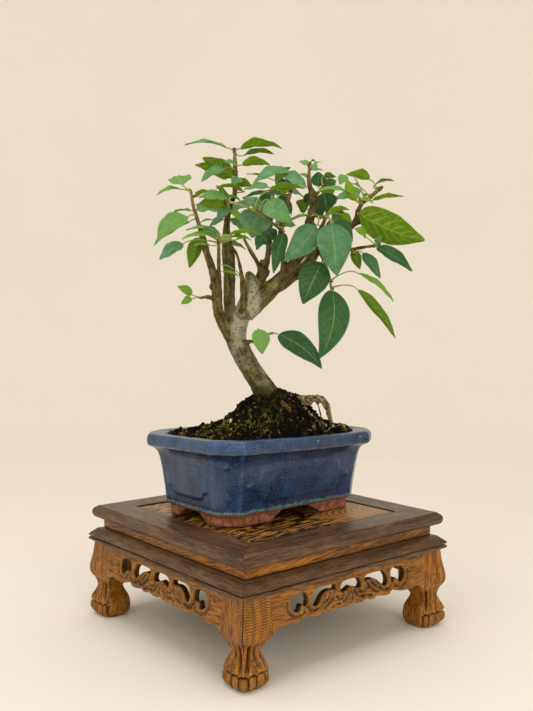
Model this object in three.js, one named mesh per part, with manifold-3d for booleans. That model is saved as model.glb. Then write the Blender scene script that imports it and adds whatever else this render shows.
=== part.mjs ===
// Crabapple bonsai in a glazed octagonal pot, on its carved square stand.
// Millimetres, +Z up. Origin: on the floor, under the middle of the square stand.
// The stand's four sides face -Y, +X, +Y and -X; the pot's long side runs along X.

import * as THREE from 'three';
import { mergeVertices } from 'three/addons/utils/BufferGeometryUtils.js';
import Module from 'manifold-3d';

const wasm = await Module();
wasm.setup();

// ---------------------------------------------------------------- driving dimensions

const GAP = 0.3; // clearance between touching pieces
const STAND_HEIGHT = 111;

// Stand: half widths out from the middle, heights down from the stand's top.
const TOP_HALF = 121.5;
const PANEL_HALF = 91.9;
const PANEL_THICK = 6;
const PANEL_RECESS = 0.8;
const RAIL_THICK = 13;
const RAIL_LEDGE = 8; // the panel lies on it
const RAIL_SWELL = { reach: 3.7, halfHeight: 5.4, drop: 6.6 };
const WAIST_HALF = 116.4;
const WAIST_WIDTH = 12;
const WAIST_BOTTOM = 22.6;
const MOULDING_HALF = 128.1;
const MOULDING_INNER = 100;
const MOULDING_BOTTOM = 36;
const APRON_BULGE = 3.2;
const APRON_FACE = 121.9;
const APRON_THICK = 12;
const LEG_BLOCK_INNER = 94;

// Pot: half lengths at its rim and at its foot, and the corner cut off each.
const POT_CENTRE = new THREE.Vector2(1.6, 7.2);
const POT_RIM = { length: 102.4, depth: 74.8, cut: 23.6 };
const POT_FOOT = { length: 87.3, depth: 56.3, cut: 16.9 };
const POT_HEIGHT = 78.7;
const FOOT_HEIGHT = 10.5;
const FOOT_WALL = 14;
const LONG_ARCH = { low: 30.5, high: 18.5 }; // half widths of the gaps between the feet
const SHORT_ARCH = { low: 22.5, high: 12.2 };
const CARTOUCHE = { long: 64, short: 33, low: 12.5, high: 43, notch: 8.5, proud: 1.1, lean: 7 };
const CARTOUCHE_DEPTH = 5; // most of it is inside the wall
const FLOOR_TOP = 19;
const INNER_RIM = { length: 87.4, depth: 59.8, cut: 17.5 };
const INNER_FLOOR = { length: 79.5, depth: 48.5, cut: 13.5 };
const INNER_RIM_HEIGHT = 76.5;
const DRAIN_RADIUS = 9;
const DRAIN_OFFSET = 40;
const SCREEN_SIDE = 34;
const SCREEN_BAR = 4;
const SCREEN_THICK = 0.9;

// Tree: it is planted turned away from the pot's long side; its own frame has u to the
// tree's right, w to its back and h up from the stand's top.
const TREE_TURN = THREE.MathUtils.degToRad(-39.7);
const TRUNK_FOOT = new THREE.Vector2(10.7, -1.1);
const WOOD_STEP = 14; // a branch's rings are this far apart, plus its radius
const SHOOT_STEP = 14;
const STALK_RADIUS = 0.5;
const LEAF_THICK = 0.7;
const BLADE_FOLD = 0.22; // rise of a blade's edge over its half width
const BLADE_WAVE = 0.025; // swing of its edge over its width

// Woody branches and roots: points [u, w, h, radius] along each one, thick end first.
// Each starts inside the branch that it grows from.
const WOOD = {
  trunk: [
    [11.9, 8, 96.6, 17], [5.8, 7, 109.8, 13.2], [-2.7, 6, 123.9, 11], [-13.8, 5, 141.1, 10.1],
    [-22.8, 4, 157.2, 10.2], [-28.2, 3, 171.2, 10.4], [-25.2, 2, 187.2, 9.2], [-19.2, 1, 201.2, 8.8],
    [-13.2, 1, 215.2, 8.3], [-13.2, 2, 228.2, 6.6], [-16.7, 3, 237.3, 2.6],
  ],
  left: [
    [-26.2, 3, 163.2, 8], [-35.1, 0, 175.3, 6.2], [-42.4, -4, 188.2, 4.9], [-46.1, -9, 204, 5.1],
    [-46.4, -12, 218.6, 5.3], [-50.5, -16, 238, 3.5], [-56.7, -19, 257.3, 3.4], [-59, -20, 268, 2.6],
    [-62.7, -22, 280.4, 2.1],
  ],
  stem: [
    [-26.3, 6, 183.2, 7], [-33.5, 9, 195.3, 6.2], [-35.1, 11, 211.5, 5.7], [-35.2, 13, 233.9, 6],
    [-35.2, 14, 254.2, 5.6], [-36.3, 15, 266.5, 3.6], [-37.4, 16, 284.9, 2.9], [-35.3, 16, 301.2, 2.8],
    [-30.2, 16, 315.4, 2.7],
  ],
  stub_knob: [
    [-8.2, 3, 213.3, 6], [-4.2, 4, 228.3, 5.4], [-0.7, 5, 239.4, 5.2], [0.1, 5, 249.5, 4.2],
  ],
  stub_twig: [
    [-3.2, 2, 239.2, 2.4], [-7.2, -1, 247, 2], [-14.1, -4, 258.7, 1.8], [-20, -6, 269.4, 1.4],
  ],
  front_twig: [
    [-22.1, -2, 191.2, 4.2], [-20.6, -8, 206, 3.1], [-20.4, -10, 219.7, 3.4], [-22.8, -12, 237.3, 1.6],
    [-26.7, -13, 253, 1.4], [-33.5, -13, 263.8, 1.1],
  ],
  red_twig: [
    [-45.8, -13, 212.7, 3.6], [-44, -19, 224.2, 2.9], [-43.8, -23, 239.5, 1.9], [-43.7, -25, 250, 1.7],
  ],
  main: [
    [-18.2, 0, 195.2, 8.5], [-8.2, -2, 204.1, 8.2], [3.8, -5, 215, 7.6], [16.6, -8, 228.7, 6.7],
    [28.4, -10, 243.9, 5.4], [38.2, -12, 257, 5], [44.6, -12, 270.8, 4.7], [44.6, -11, 285.6, 4.6],
    [48.1, -10, 300.5, 4], [48.2, -9, 310.5, 4.2], [45.5, -9, 318.4, 2.8],
  ],
  second: [
    [12.7, -4, 221, 5.5], [25.9, 4, 229.3, 4.6], [41.1, 9, 241.7, 4.3], [55.4, 12, 260.1, 4],
    [69.6, 12, 272.3, 3.4], [83.4, 8, 279.9, 3.1], [90.8, 2, 288.2, 2.9], [92.9, -2, 296.7, 2.6],
  ],
  elbow: [
    [88.1, 5, 284.6, 2.7], [96.7, 1, 287.1, 2],
  ],
  side_twig: [
    [65.4, 10, 267, 2.2], [75.8, 2, 259.2, 1.9], [87.1, -5, 259.1, 1.8], [98.6, -8, 260.8, 1.6],
    [108.9, -9, 262.2, 1.5],
  ],
  middle: [
    [18.6, -6, 230.8, 4.4], [19.8, 0, 246.1, 3.4], [17.3, 3, 263.3, 3.1], [17.3, 4, 281.5, 3.2],
    [20.3, 3, 296.4, 2.8],
  ],
  brown_twig: [
    [-1.2, 4, 223.3, 2.2], [9.7, -5, 230.8, 1.7], [22.4, -14, 242.1, 1.5], [32.1, -18, 250.6, 1.2],
  ],
  knot_twig: [
    [47.7, -9, 308.6, 2.6], [52.5, -11, 313.2, 1.8], [56.8, -6, 318.9, 1.3],
  ],
  stub_left: [
    [-45.1, -9, 206.9, 2.8], [-51.5, -8, 210.9, 2.5], [-56.6, -7, 211.9, 2.2],
  ],
  stub_trunk: [
    [-20.1, -2, 167.3, 2.4], [-10.5, -9, 168.6, 1.5],
  ],
  back_left: [
    [-34.6, 12, 209.5, 4.2], [-37.3, 26, 226.4, 3.2], [-41, 38, 250, 2.6], [-42.5, 47, 276, 2],
    [-40.7, 52, 297.7, 1.4],
  ],
  back_mid: [
    [-12.2, 4, 217.3, 5], [-2.3, 18, 234.2, 3.8], [3.9, 34, 256.9, 3], [6, 46, 282.2, 2.5],
    [8.1, 54, 308.6, 1.9], [10.3, 58, 328.4, 1.3],
  ],
  back_right: [
    [35, 6, 239.5, 3.8], [42.8, 22, 248.8, 3], [50.7, 36, 266.5, 2.6], [60.8, 47, 288.6, 2.1],
    [69.8, 54, 310.7, 1.5],
  ],
};
const ROOTS = {
  root_right: [
    [15.9, 7, 106.8, 9], [31.9, 4, 109, 6.2], [39.7, 0, 108.4, 5], [47.5, -3, 111.2, 3.6],
    [55.4, -5, 110.8, 3.4], [61.3, -5, 104.9, 3.2], [65.3, -4, 93.9, 2.7], [67.4, -3, 81.8, 2.2],
    [69.5, -2, 69.8, 1.5],
  ],
  root_strand: [
    [50.5, -4, 110.8, 1.4], [54.2, -7, 103.1, 1], [56.2, -7, 93.2, 1], [56.8, -6, 80.2, 0.9],
  ],
  root_front: [
    [7.8, -2, 111.6, 6.5], [16.5, -14, 106.7, 3.6], [23.2, -22, 100.2, 3], [28.8, -28, 91.7, 2],
  ],
  root_left: [
    [-2.2, 2, 109.2, 7], [-14.1, -2, 101.6, 4.8], [-26, -5, 92, 3.2], [-37.7, -8, 80.5, 2],
  ],
  root_back: [
    [7.9, 14, 108.1, 7], [12.1, 28, 99.6, 4.6], [18.5, 40, 89, 3.2], [27.2, 50, 75.2, 2],
  ],
  root_back_left: [
    [-2.3, 12, 106.3, 6.5], [-14.6, 24, 97, 4], [-25.2, 34, 85.5, 2.8], [-33.9, 42, 72, 1.8],
  ],
  root_thin: [
    [35.7, 0, 107.4, 2.6], [41.3, -8, 100.2, 2], [53, -11, 89.7, 1.3], [66.2, -6, 83.2, 1.2],
    [78.9, 3, 84.1, 1.1], [82.2, 6, 76.7, 0.9],
  ],
};

// Leafy sprays. shoot: points [u, w, h, radius] of the young stem that carries the leaves.
// leaves: [base u, w, h, tip u, w, h, width, face, arch]. face is the angle in degrees that
// the upper side leans from straight up towards the tree's front (negative: towards the
// back); arch is the blade's rise over its length.
const SPRAYS = {
  stem: {
    shoot: [[-29.9, 16, 316.8, 2.6], [-29.1, 16, 327.6, 2.5], [-29.1, 16, 341.9, 2.2], [-30.1, 16, 362.2, 1.5]],
    leaves: [
      [-38, 12, 365, -79, 2, 365, 17, 22, 0.1], [-24, 12, 364, 18, 2, 362, 18, -18, 0.22],
      [-21, 22, 359, 11, 30, 362, 14, -14, 0.2], [-28, 8, 347, -41, 2, 349, 9, 45, 0.1],
      [-22, 8, 347, 7, -4, 343, 15, -28, 0.28], [-39, 4, 343, -62, -6, 327, 15, 40, 0.2],
      [-32, 14, 336, -62, 8, 354, 19, -50, 0.1], [-37, 22, 337, -71, 28, 351, 17, -45, 0.1],
      [-24, 4, 333, -32, -2, 325, 12, 50, 0.15], [-27, 18, 332, -13, 26, 329, 11, -60, 0.1],
      [-21, 2, 318, -49, -8, 318, 11, -15, 0.28],
    ],
  },
  stem_low: {
    shoot: [[-33.7, 14, 298.9, 1.6], [-37.7, 9, 303.2, 1.8], [-38.9, 5, 306.7, 1.2]],
    leaves: [
      [-38, -2, 310, -64, -16, 308, 18, 45, 0.14], [-39, 8, 304, -65, 2, 305, 18, -45, 0.12],
      [-41, 2, 291, -33, 6, 302, 9, 40, 0.1], [-24, 4, 308, -38, -2, 311, 11, 30, 0.1],
    ],
  },
  left: {
    shoot: [[-63.1, -22, 281.7, 2], [-65.6, -23, 290, 1.8], [-68.1, -24, 298.5, 1.6], [-70.2, -25, 311.9, 1.2]],
    leaves: [
      [-78, -26, 320, -85, -12, 332, 24, 40, 0.06], [-79, -24, 315, -102, -34, 307, 13, 22, 0.22],
      [-68, -22, 307, -54, -16, 316, 9, -30, 0.12], [-65, -20, 295, -54, -14, 297, 13, 50, 0.1],
      [-73, -10, 296, -90, 2, 296, 12, 12, 0.12], [-74, -28, 287, -99, -38, 268, 22, 48, 0.14],
      [-60, -28, 283, -46, -24, 285, 9, 15, 0.15], [-73, -14, 285, -107, -20, 261, 14, 30, 0.12],
    ],
  },
  red_shoot: {
    shoot: [[-43.7, -25, 251.4, 1.6], [-43.6, -26, 257.7, 1.6], [-43.7, -27, 265.3, 1.3]],
    leaves: [
      [-46, -30, 272, -74, -42, 273, 13, 20, 0.22], [-45, -36, 267, -77, -50, 264, 13, 28, 0.2],
      [-63, -18, 269, -73, -14, 240, 15, -40, 0.08], [-77, -38, 261, -98, -46, 245, 17, 45, 0.15],
      [-50, -42, 259, -65, -52, 258, 9, 30, 0.15], [-41, -26, 263, -30, -20, 271, 12, 40, 0.1],
      [-32, -36, 270, -2, -46, 268, 12, -14, 0.16], [-27, -26, 266, -12, -22, 266, 11, 14, 0.22],
    ],
  },
  front_twig: {
    shoot: [[-21.5, -12, 226.5, 1.2], [-22.9, -15, 231.7, 1.1]],
    leaves: [
      [-28, -20, 237, -44, -26, 242, 4, 30, 0.1], [-25, -20, 232, -42, -22, 236, 4.5, 40, 0.1],
    ],
  },
  stub: {
    shoot: [[-57.2, -7, 211.9, 1.8], [-60.4, -8, 211.4, 1.1]],
    leaves: [
      [-71, -10, 214, -85, -14, 222, 11, 55, 0.1], [-71, -8, 210, -82, -6, 205, 9, 60, 0.1],
    ],
  },
  long_shoot: {
    shoot: [[17.7, -1, 277.9, 1.7], [0.6, -20, 288, 1.2], [-16, -26, 297.2, 1.1], [-35, -22, 303.6, 0.9]],
    leaves: [
      [-1, -22, 296, -21, -18, 307, 15, 50, 0.12], [19, -18, 274, 9, -28, 234, 15, 62, 0.1],
      [1, -12, 296, -15, -6, 271, 31, 72, 0.08], [-1, -32, 300, 24, -42, 280, 24, 62, 0.1],
      [4, -36, 311, 39, -30, 315, 12, -25, 0.16],
    ],
  },
  middle: {
    shoot: [[20.7, 3, 298, 2.6], [22.8, 3, 305.4, 2.2], [26.3, 2, 318.2, 1.8]],
    leaves: [
      [24, -12, 337, -10, -28, 321, 19, 40, 0.25], [19, -18, 334, 41, -24, 317, 16, 50, 0.12],
      [28, -6, 325, 12, -12, 326, 12, 35, 0.12], [1, 4, 334, -18, 10, 338, 10, 12, 0.12],
      [23, -8, 315, 14, -10, 317, 9, -45, 0.1], [21, 2, 313, -22, -2, 310, 18, 25, 0.12],
    ],
  },
  main_tip: {
    shoot: [[45.1, -9, 320, 2.2], [43.8, -9, 329.3, 1.9], [44.5, -9, 343.1, 1.6]],
    leaves: [
      [43, -4, 344, 35, 4, 350, 9, 40, 0.1], [45, 0, 347, 51, 6, 351, 6, -30, 0.1],
      [46, -14, 342, 51, -18, 337, 9, 55, 0.1], [50, 4, 347, 57, 10, 350, 6, 20, 0.1],
      [51, -8, 339, 58, -6, 339, 7, 25, 0.15], [42, 4, 334, 35, 14, 339, 9, 20, 0.1],
    ],
  },
  knot: {
    shoot: [[56.9, -5, 319.7, 1.2], [58.5, -3, 322.4, 1.6]],
    leaves: [
      [54, 4, 324, 54, 8, 340, 16, 55, 0.1], [59, 4, 321, 72, 8, 332, 15, 55, 0.1],
      [59, 6, 317, 63, 14, 298, 24, 70, 0.1], [59, 0, 334, 71, -2, 333, 11, -25, 0.15],
    ],
  },
  main_back: {
    shoot: [[46.4, -6, 304.1, 1.8], [45.7, 0, 306, 1.8]],
    leaves: [
      [44, 6, 317, 43, 12, 305, 9, 60, 0.1], [52, 16, 310, 58, 20, 292, 12, 65, 0.1],
      [43, 8, 300, 32, 14, 309, 16, -60, 0.1],
    ],
  },
  main_front: {
    shoot: [[47, -13, 294.2, 2], [52.6, -18, 289.1, 1.6], [59.3, -19, 289, 1.4]],
    leaves: [
      [64, -36, 281, 68, -48, 230, 33, 82, 0.07], [50, -28, 277, 19, -36, 245, 26, 75, 0.07],
      [61, -20, 291, 83, -24, 295, 11, -25, 0.26], [75, -12, 292, 86, -10, 284, 10, -45, 0.1],
      [67, -24, 283, 85, -26, 264, 20, 70, 0.08], [46, -20, 290, 17, -24, 276, 13, 15, 0.24],
    ],
  },
  right_end: {
    shoot: [[93.3, -2, 298.1, 2.4], [96.2, -3, 303.5, 2.2], [105.2, -3, 311, 2.1], [113.9, -3, 319.9, 1.8]],
    leaves: [
      [103, -12, 329, 80, -20, 332, 15, -28, 0.26], [108, -4, 324, 129, 2, 330, 10, -15, 0.2],
      [80, -8, 334, 74, -10, 324, 11, 50, 0.1], [84, -18, 312, 80, -16, 329, 10, -60, 0.1],
      [84, -22, 310, 50, -34, 311, 13, 30, 0.2], [92, -14, 310, 84, -12, 320, 11, 45, 0.1],
      [94, 6, 325, 87, 12, 329, 7, 20, 0.1], [90, -18, 305, 75, -26, 309, 10, -30, 0.1],
      [94, -16, 307, 106, -18, 302, 9, 35, 0.15], [106, -10, 306, 136, -14, 309, 12, -15, 0.12],
      [100, 4, 313, 106, 10, 316, 7, 20, 0.1],
    ],
  },
  elbow: {
    shoot: [[98.2, 0, 287.4, 1.8], [99.7, -3, 288.6, 1.5]],
    leaves: [
      [93, -14, 289, 153, -28, 262, 34, -62, 0.08], [101, 0, 283, 124, 4, 265, 14, -50, 0.08],
    ],
  },
  side_tip: {
    shoot: [[110, -9, 262.4, 1.4], [111.7, -10, 263.1, 1.4]],
    leaves: [
      [98, -24, 269, 86, -28, 276, 17, 40, 0.1], [109, -17, 263, 114, -20, 270, 9, 45, 0.1],
      [110, -14, 260, 143, -24, 236, 17, 50, 0.14],
    ],
  },
  side_low: {
    shoot: [[87.1, -5, 256.6, 1.2], [87.4, -7, 254.5, 1.2]],
    leaves: [
      [96, -18, 254, 112, -24, 229, 13, 55, 0.14], [87, -8, 258, 94, -10, 239, 11, -50, 0.1],
    ],
  },
  low_shoot: {
    shoot: [[56.1, 7, 255.7, 1.8], [60.2, -6, 244.6, 1.4], [63.6, -14, 232.3, 1.2], [65.1, -20, 220.3, 1.1]],
    leaves: [
      [55, -28, 244, 37, -36, 204, 32, 72, 0.08], [66, -22, 218, 53, -28, 152, 31, 78, 0.07],
      [90, -30, 218, 125, -40, 171, 13, -35, 0.12], [91, -24, 234, 124, -32, 206, 13, 20, 0.14],
    ],
  },
  trunk_shoot: {
    shoot: [[-9.4, -10, 168.8, 1.3], [-2.1, -14, 174.4, 1.1], [5.7, -16, 175.9, 0.9]],
    leaves: [
      [-4, -20, 178, -2, -24, 156, 18, 75, 0.08], [14, -18, 175, 56, -24, 143, 24, 65, 0.1],
    ],
  },
  middle_side: {
    shoot: [[15.4, 2, 263.2, 1.8], [12.8, 3, 264.3, 1.5]],
    leaves: [
      [7, -2, 263, -2, -4, 265, 8, 45, 0.1], [10, 12, 270, -2, 22, 284, 16, 45, 0.12],
    ],
  },
  back_left: {
    shoot: [[-40.6, 52.6, 298.4, 1.4], [-40.8, 56, 302.5, 1.3]],
    leaves: [
      [-45, 58, 305, -74, 66, 312, 20, 40, 0.14], [-39, 60, 309, -52, 70, 337, 18, -30, 0.12],
      [-34, 58, 305, -7, 70, 315, 19, 30, 0.14], [-43, 64, 297, -64, 80, 286, 19, 40, 0.12],
      [-37, 62, 297, -20, 74, 281, 16, 40, 0.12],
    ],
  },
  back_left_low: {
    shoot: [[-41.8, 45, 266.3, 1.5], [-42.6, 49, 269.8, 1.4]],
    leaves: [
      [-48, 50, 274, -69, 58, 290, 17, 30, 0.12], [-36, 54, 270, -20, 66, 265, 16, 35, 0.12],
    ],
  },
  back_mid: {
    shoot: [[10.4, 58.8, 329.4, 1.3], [10.9, 62, 333.3, 1.2]],
    leaves: [
      [4, 64, 334, -22, 70, 332, 18, 35, 0.14], [12, 64, 336, 28, 72, 357, 18, -30, 0.14],
      [17, 62, 331, 43, 72, 324, 20, 35, 0.14], [8, 68, 326, -7, 80, 308, 20, 50, 0.12],
      [15, 68, 324, 30, 84, 304, 22, 50, 0.12],
    ],
  },
  back_mid_low: {
    shoot: [[6.3, 48, 285.6, 1.6], [6, 52, 289.2, 1.4]],
    leaves: [
      [0, 54, 294, -20, 64, 304, 19, 40, 0.12], [12, 52, 291, 34, 62, 290, 20, 45, 0.12],
      [4, 58, 284, -9, 70, 265, 18, 50, 0.12],
    ],
  },
  back_right: {
    shoot: [[70.2, 54.8, 311.9, 1.4], [71.2, 58, 315.6, 1.3]],
    leaves: [
      [76, 58, 318, 103, 64, 323, 18, 30, 0.14], [68, 60, 320, 62, 66, 345, 18, -30, 0.14],
      [64, 60, 314, 41, 68, 313, 20, 40, 0.14], [73, 64, 308, 85, 78, 284, 22, 50, 0.12],
    ],
  },
  back_right_low: {
    shoot: [[59.2, 48, 283.5, 1.6], [60.1, 52, 287.1, 1.4]],
    leaves: [
      [65, 50, 287, 89, 58, 292, 18, 35, 0.12], [55, 54, 290, 36, 66, 276, 20, 45, 0.12],
      [61, 54, 279, 71, 66, 256, 20, 55, 0.12],
    ],
  },
};

// ---------------------------------------------------------------- shared shaping

function toSolid(geometry) {
  const bare = geometry.clone();
  bare.deleteAttribute('normal');
  bare.deleteAttribute('uv');
  const welded = mergeVertices(bare, 1e-4);
  return new wasm.Manifold(new wasm.Mesh({
    numProp: 3,
    vertProperties: new Float32Array(welded.attributes.position.array),
    triVerts: new Uint32Array(welded.index.array),
  }));
}

function toGeometry(solid) {
  const mesh = solid.getMesh();
  const geometry = new THREE.BufferGeometry();
  geometry.setAttribute('position', new THREE.BufferAttribute(mesh.vertProperties.slice(), 3));
  geometry.setIndex(new THREE.BufferAttribute(mesh.triVerts.slice(), 1));
  return geometry;
}

// The largest body of a cut solid; crumbs that a cut leaves behind are dropped.
function largestBody(solid) {
  return solid.decompose().reduce((best, body) => (body.volume() > best.volume() ? body : best));
}

function skin(positions, faces) {
  const geometry = new THREE.BufferGeometry();
  geometry.setAttribute('position', new THREE.Float32BufferAttribute(positions, 3));
  geometry.setIndex(faces);
  return geometry;
}

// A closed skin over rings of points, each ring with the same count, flat at both ends.
function loft(rings) {
  const count = rings[0].length;
  const positions = rings.flat().flatMap((point) => point.toArray());
  const faces = [];
  for (let level = 0; level < rings.length - 1; level += 1) {
    for (let k = 0; k < count; k += 1) {
      const a = level * count + k;
      const b = level * count + ((k + 1) % count);
      faces.push(a, b, b + count, a, b + count, a + count);
    }
  }
  for (const [level, turn] of [[0, 1], [rings.length - 1, -1]]) {
    const middle = positions.length / 3;
    const centre = rings[level].reduce((sum, p) => sum.add(p), new THREE.Vector3());
    positions.push(...centre.divideScalar(count).toArray());
    for (let k = 0; k < count; k += 1) {
      const a = level * count + k;
      const b = level * count + ((k + 1) % count);
      faces.push(...(turn > 0 ? [middle, b, a] : [middle, a, b]));
    }
  }
  return skin(positions, faces);
}

// A tapering round stem through points [u, w, h, radius]; grow widens it all over.
function stem(points, sides, spacing, grow = 0) {
  const curve = new THREE.CatmullRomCurve3(
    points.map(([u, w, h]) => new THREE.Vector3(u, w, h)), false, 'centripetal');
  const steps = Math.max(2, Math.ceil(curve.getLength() / spacing));
  const frames = curve.computeFrenetFrames(steps, false);
  const rings = [];
  for (let step = 0; step <= steps; step += 1) {
    const at = (step / steps) * (points.length - 1);
    const before = Math.min(Math.floor(at), points.length - 2);
    const radius = THREE.MathUtils.lerp(points[before][3], points[before + 1][3], at - before) + grow;
    const centre = curve.getPoint(step / steps);
    if (step === 0) centre.addScaledVector(frames.tangents[0], -grow);
    if (step === steps) centre.addScaledVector(frames.tangents[steps], grow);
    const ring = [];
    for (let k = 0; k < sides; k += 1) {
      const angle = (k / sides) * Math.PI * 2;
      ring.push(centre.clone()
        .addScaledVector(frames.normals[step], Math.cos(angle) * radius)
        .addScaledVector(frames.binormals[step], Math.sin(angle) * radius));
    }
    rings.push(ring);
  }
  return loft(rings);
}

function material(color, roughness, metalness = 0) {
  return new THREE.MeshStandardMaterial({ color, roughness, metalness });
}

function named(name, geometry, finish) {
  const mesh = new THREE.Mesh(geometry, finish);
  mesh.name = name;
  return mesh;
}

// The same pseudo-random draw in every run.
function seededDraw(seed) {
  let state = seed;
  return () => {
    state = (state * 1664525 + 1013904223) % 4294967296;
    return state / 4294967296;
  };
}

// ---------------------------------------------------------------- stand

const darkWood = material('#5a4024', 0.45);
const figuredWood = material('#8a5a20', 0.4);
const midWood = material('#8f5a2a', 0.5);
const SIDES = ['front', 'right', 'back', 'left'];

// One side of a square frame with mitred ends. The profile runs round through points
// [distance out from the middle, drop below the stand's top].
function mitredStrip(profile) {
  const mitreGap = GAP / 2;
  const outline = profile.map(([out, drop]) => new THREE.Vector2(out, -drop));
  if (!THREE.ShapeUtils.isClockWise(outline)) outline.reverse();
  const ring = (side) => outline.map((p) => new THREE.Vector3(side * (p.x - mitreGap), -p.x, p.y));
  const positions = [...ring(-1), ...ring(1)].flatMap((p) => p.toArray());
  const count = outline.length;
  const faces = [];
  for (let k = 0; k < count; k += 1) {
    const next = (k + 1) % count;
    faces.push(k, next, next + count, k, next + count, k + count);
  }
  for (const [a, b, c] of THREE.ShapeUtils.triangulateShape(outline, [])) {
    faces.push(a, b, c, a + count, c + count, b + count);
  }
  return skin(positions, faces);
}

// The rail swells into a rounded outer edge; its inner edge is cut back for the panel.
function railProfile() {
  const rebate = PANEL_RECESS + PANEL_THICK + GAP;
  const swell = [70, 44, 18, -8, -32, -56, -82].map((degrees) => {
    const angle = THREE.MathUtils.degToRad(degrees);
    return [
      TOP_HALF + Math.cos(angle) * RAIL_SWELL.reach,
      RAIL_SWELL.drop - Math.sin(angle) * RAIL_SWELL.halfHeight,
    ];
  });
  return [
    [PANEL_HALF + GAP, 0],
    [TOP_HALF, 0],
    [TOP_HALF + 0.2, 0.9],
    ...swell,
    [TOP_HALF - 3, RAIL_THICK],
    [PANEL_HALF - RAIL_LEDGE, RAIL_THICK],
    [PANEL_HALF - RAIL_LEDGE, rebate],
    [PANEL_HALF + GAP, rebate],
  ];
}

function waistProfile() {
  const top = RAIL_THICK + GAP;
  return [
    [WAIST_HALF, top],
    [WAIST_HALF, WAIST_BOTTOM],
    [WAIST_HALF - WAIST_WIDTH, WAIST_BOTTOM],
    [WAIST_HALF - WAIST_WIDTH, top],
  ];
}

// A slope, a bead, a groove and a second bead: [in from the widest line, drop].
const MOULDING_FACE = [
  [7.2, WAIST_BOTTOM + GAP], [3.4, 26.2], [0.6, 28.6], [0, 29.4], [0.3, 30.6], [1.6, 31.2],
  [1.6, 31.9], [0.4, 32.4], [0, 33.5], [0.7, 34.8], [2.6, MOULDING_BOTTOM],
];

function mouldingProfile() {
  return [
    [MOULDING_INNER, WAIST_BOTTOM + GAP],
    ...MOULDING_FACE.map(([inward, drop]) => [MOULDING_HALF - inward, drop]),
    [MOULDING_INNER, MOULDING_BOTTOM],
  ];
}

function panelGeometry() {
  const side = PANEL_HALF * 2;
  return new THREE.BoxGeometry(side, side, PANEL_THICK);
}

// How far an apron's or leg's face stands out at a drop below the stand's top.
function bulge(drop) {
  return APRON_BULGE * THREE.MathUtils.smoothstep(drop, 38, 62);
}

// Apron outline: scallops hang between cusps, and the ends run down to meet the legs.
const APRON_CUSPS = [0, 19.4, 31, 55.2];
const CUSP_DROP = 63.2;
const SCALLOP_DROP = 68.4;
const APRON_END = [[71, 69.4, 84, 65.6], [90, 65.4, LEG_BLOCK_INNER - GAP, 71.4]];

function apronShape() {
  const end = LEG_BLOCK_INNER - GAP;
  const top = MOULDING_BOTTOM + GAP;
  const shape = new THREE.Shape();
  shape.moveTo(end, -top);
  shape.lineTo(-end, -top);
  shape.lineTo(-end, -APRON_END[1][3]);
  shape.quadraticCurveTo(-APRON_END[1][0], -APRON_END[1][1], -APRON_END[0][2], -APRON_END[0][3]);
  shape.quadraticCurveTo(-APRON_END[0][0], -APRON_END[0][1], -APRON_CUSPS[3], -CUSP_DROP);
  const cusps = [...APRON_CUSPS.slice().reverse().map((x) => -x), ...APRON_CUSPS.slice(1)];
  for (let k = 1; k < cusps.length; k += 1) {
    shape.quadraticCurveTo((cusps[k - 1] + cusps[k]) / 2, -SCALLOP_DROP, cusps[k], -CUSP_DROP);
  }
  shape.quadraticCurveTo(APRON_END[0][0], -APRON_END[0][1], APRON_END[0][2], -APRON_END[0][3]);
  shape.quadraticCurveTo(APRON_END[1][0], -APRON_END[1][1], end, -APRON_END[1][3]);
  for (const side of [-1, 1]) {
    shape.holes.push(pierced(side, END_OPENING), pierced(side, LEAF_OPENING));
  }
  shape.holes.push(pierced(1, CENTRE_OPENING));
  return shape;
}

// The pierced openings of a half apron as points [x, drop]; a carved leaf lobe rises into
// the leaf openings and a small bud into the end ones.
const END_OPENING = [
  [51.6, 50], [53, 44.6], [57, 42.6], [66, 42.6], [71.4, 45.6], [73, 50], [70.8, 55],
  [66, 57.8], [60.5, 57.6], [54.6, 55.4],
];
const LEAF_OPENING = [
  [17.4, 45.4], [20.5, 42.6], [39, 42.4], [44.5, 44], [48.1, 50], [47.4, 55.4], [43.5, 57.9],
  [39.8, 55.6], [36.4, 51.2], [30.5, 47.6], [23.5, 47.2], [18.4, 48.6],
];
const CENTRE_OPENING = [
  [-13.7, 50.6], [-12.6, 45.4], [-8.5, 42.5], [8.5, 42.5], [12.6, 45.4], [13.7, 50.6],
  [10.4, 52.8], [7.2, 51.4], [3.6, 50.6], [0, 48.6], [-3.6, 50.6], [-7.2, 51.4], [-10.4, 52.8],
];

function pierced(side, points) {
  return new THREE.Path(points.map(([x, drop]) => new THREE.Vector2(side * x, -drop)));
}

function apronGeometry() {
  const geometry = new THREE.ExtrudeGeometry(apronShape(), {
    depth: APRON_THICK, bevelEnabled: false, curveSegments: 2,
  });
  const position = geometry.attributes.position;
  for (let k = 0; k < position.count; k += 1) {
    const x = position.getX(k);
    const z = position.getY(k);
    const outward = position.getZ(k) - APRON_THICK;
    position.setXYZ(k, x, -(APRON_FACE + bulge(-z) + outward), z);
  }
  geometry.deleteAttribute('normal');
  geometry.deleteAttribute('uv');
  return mergeVertices(geometry, 1e-4);
}

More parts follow.
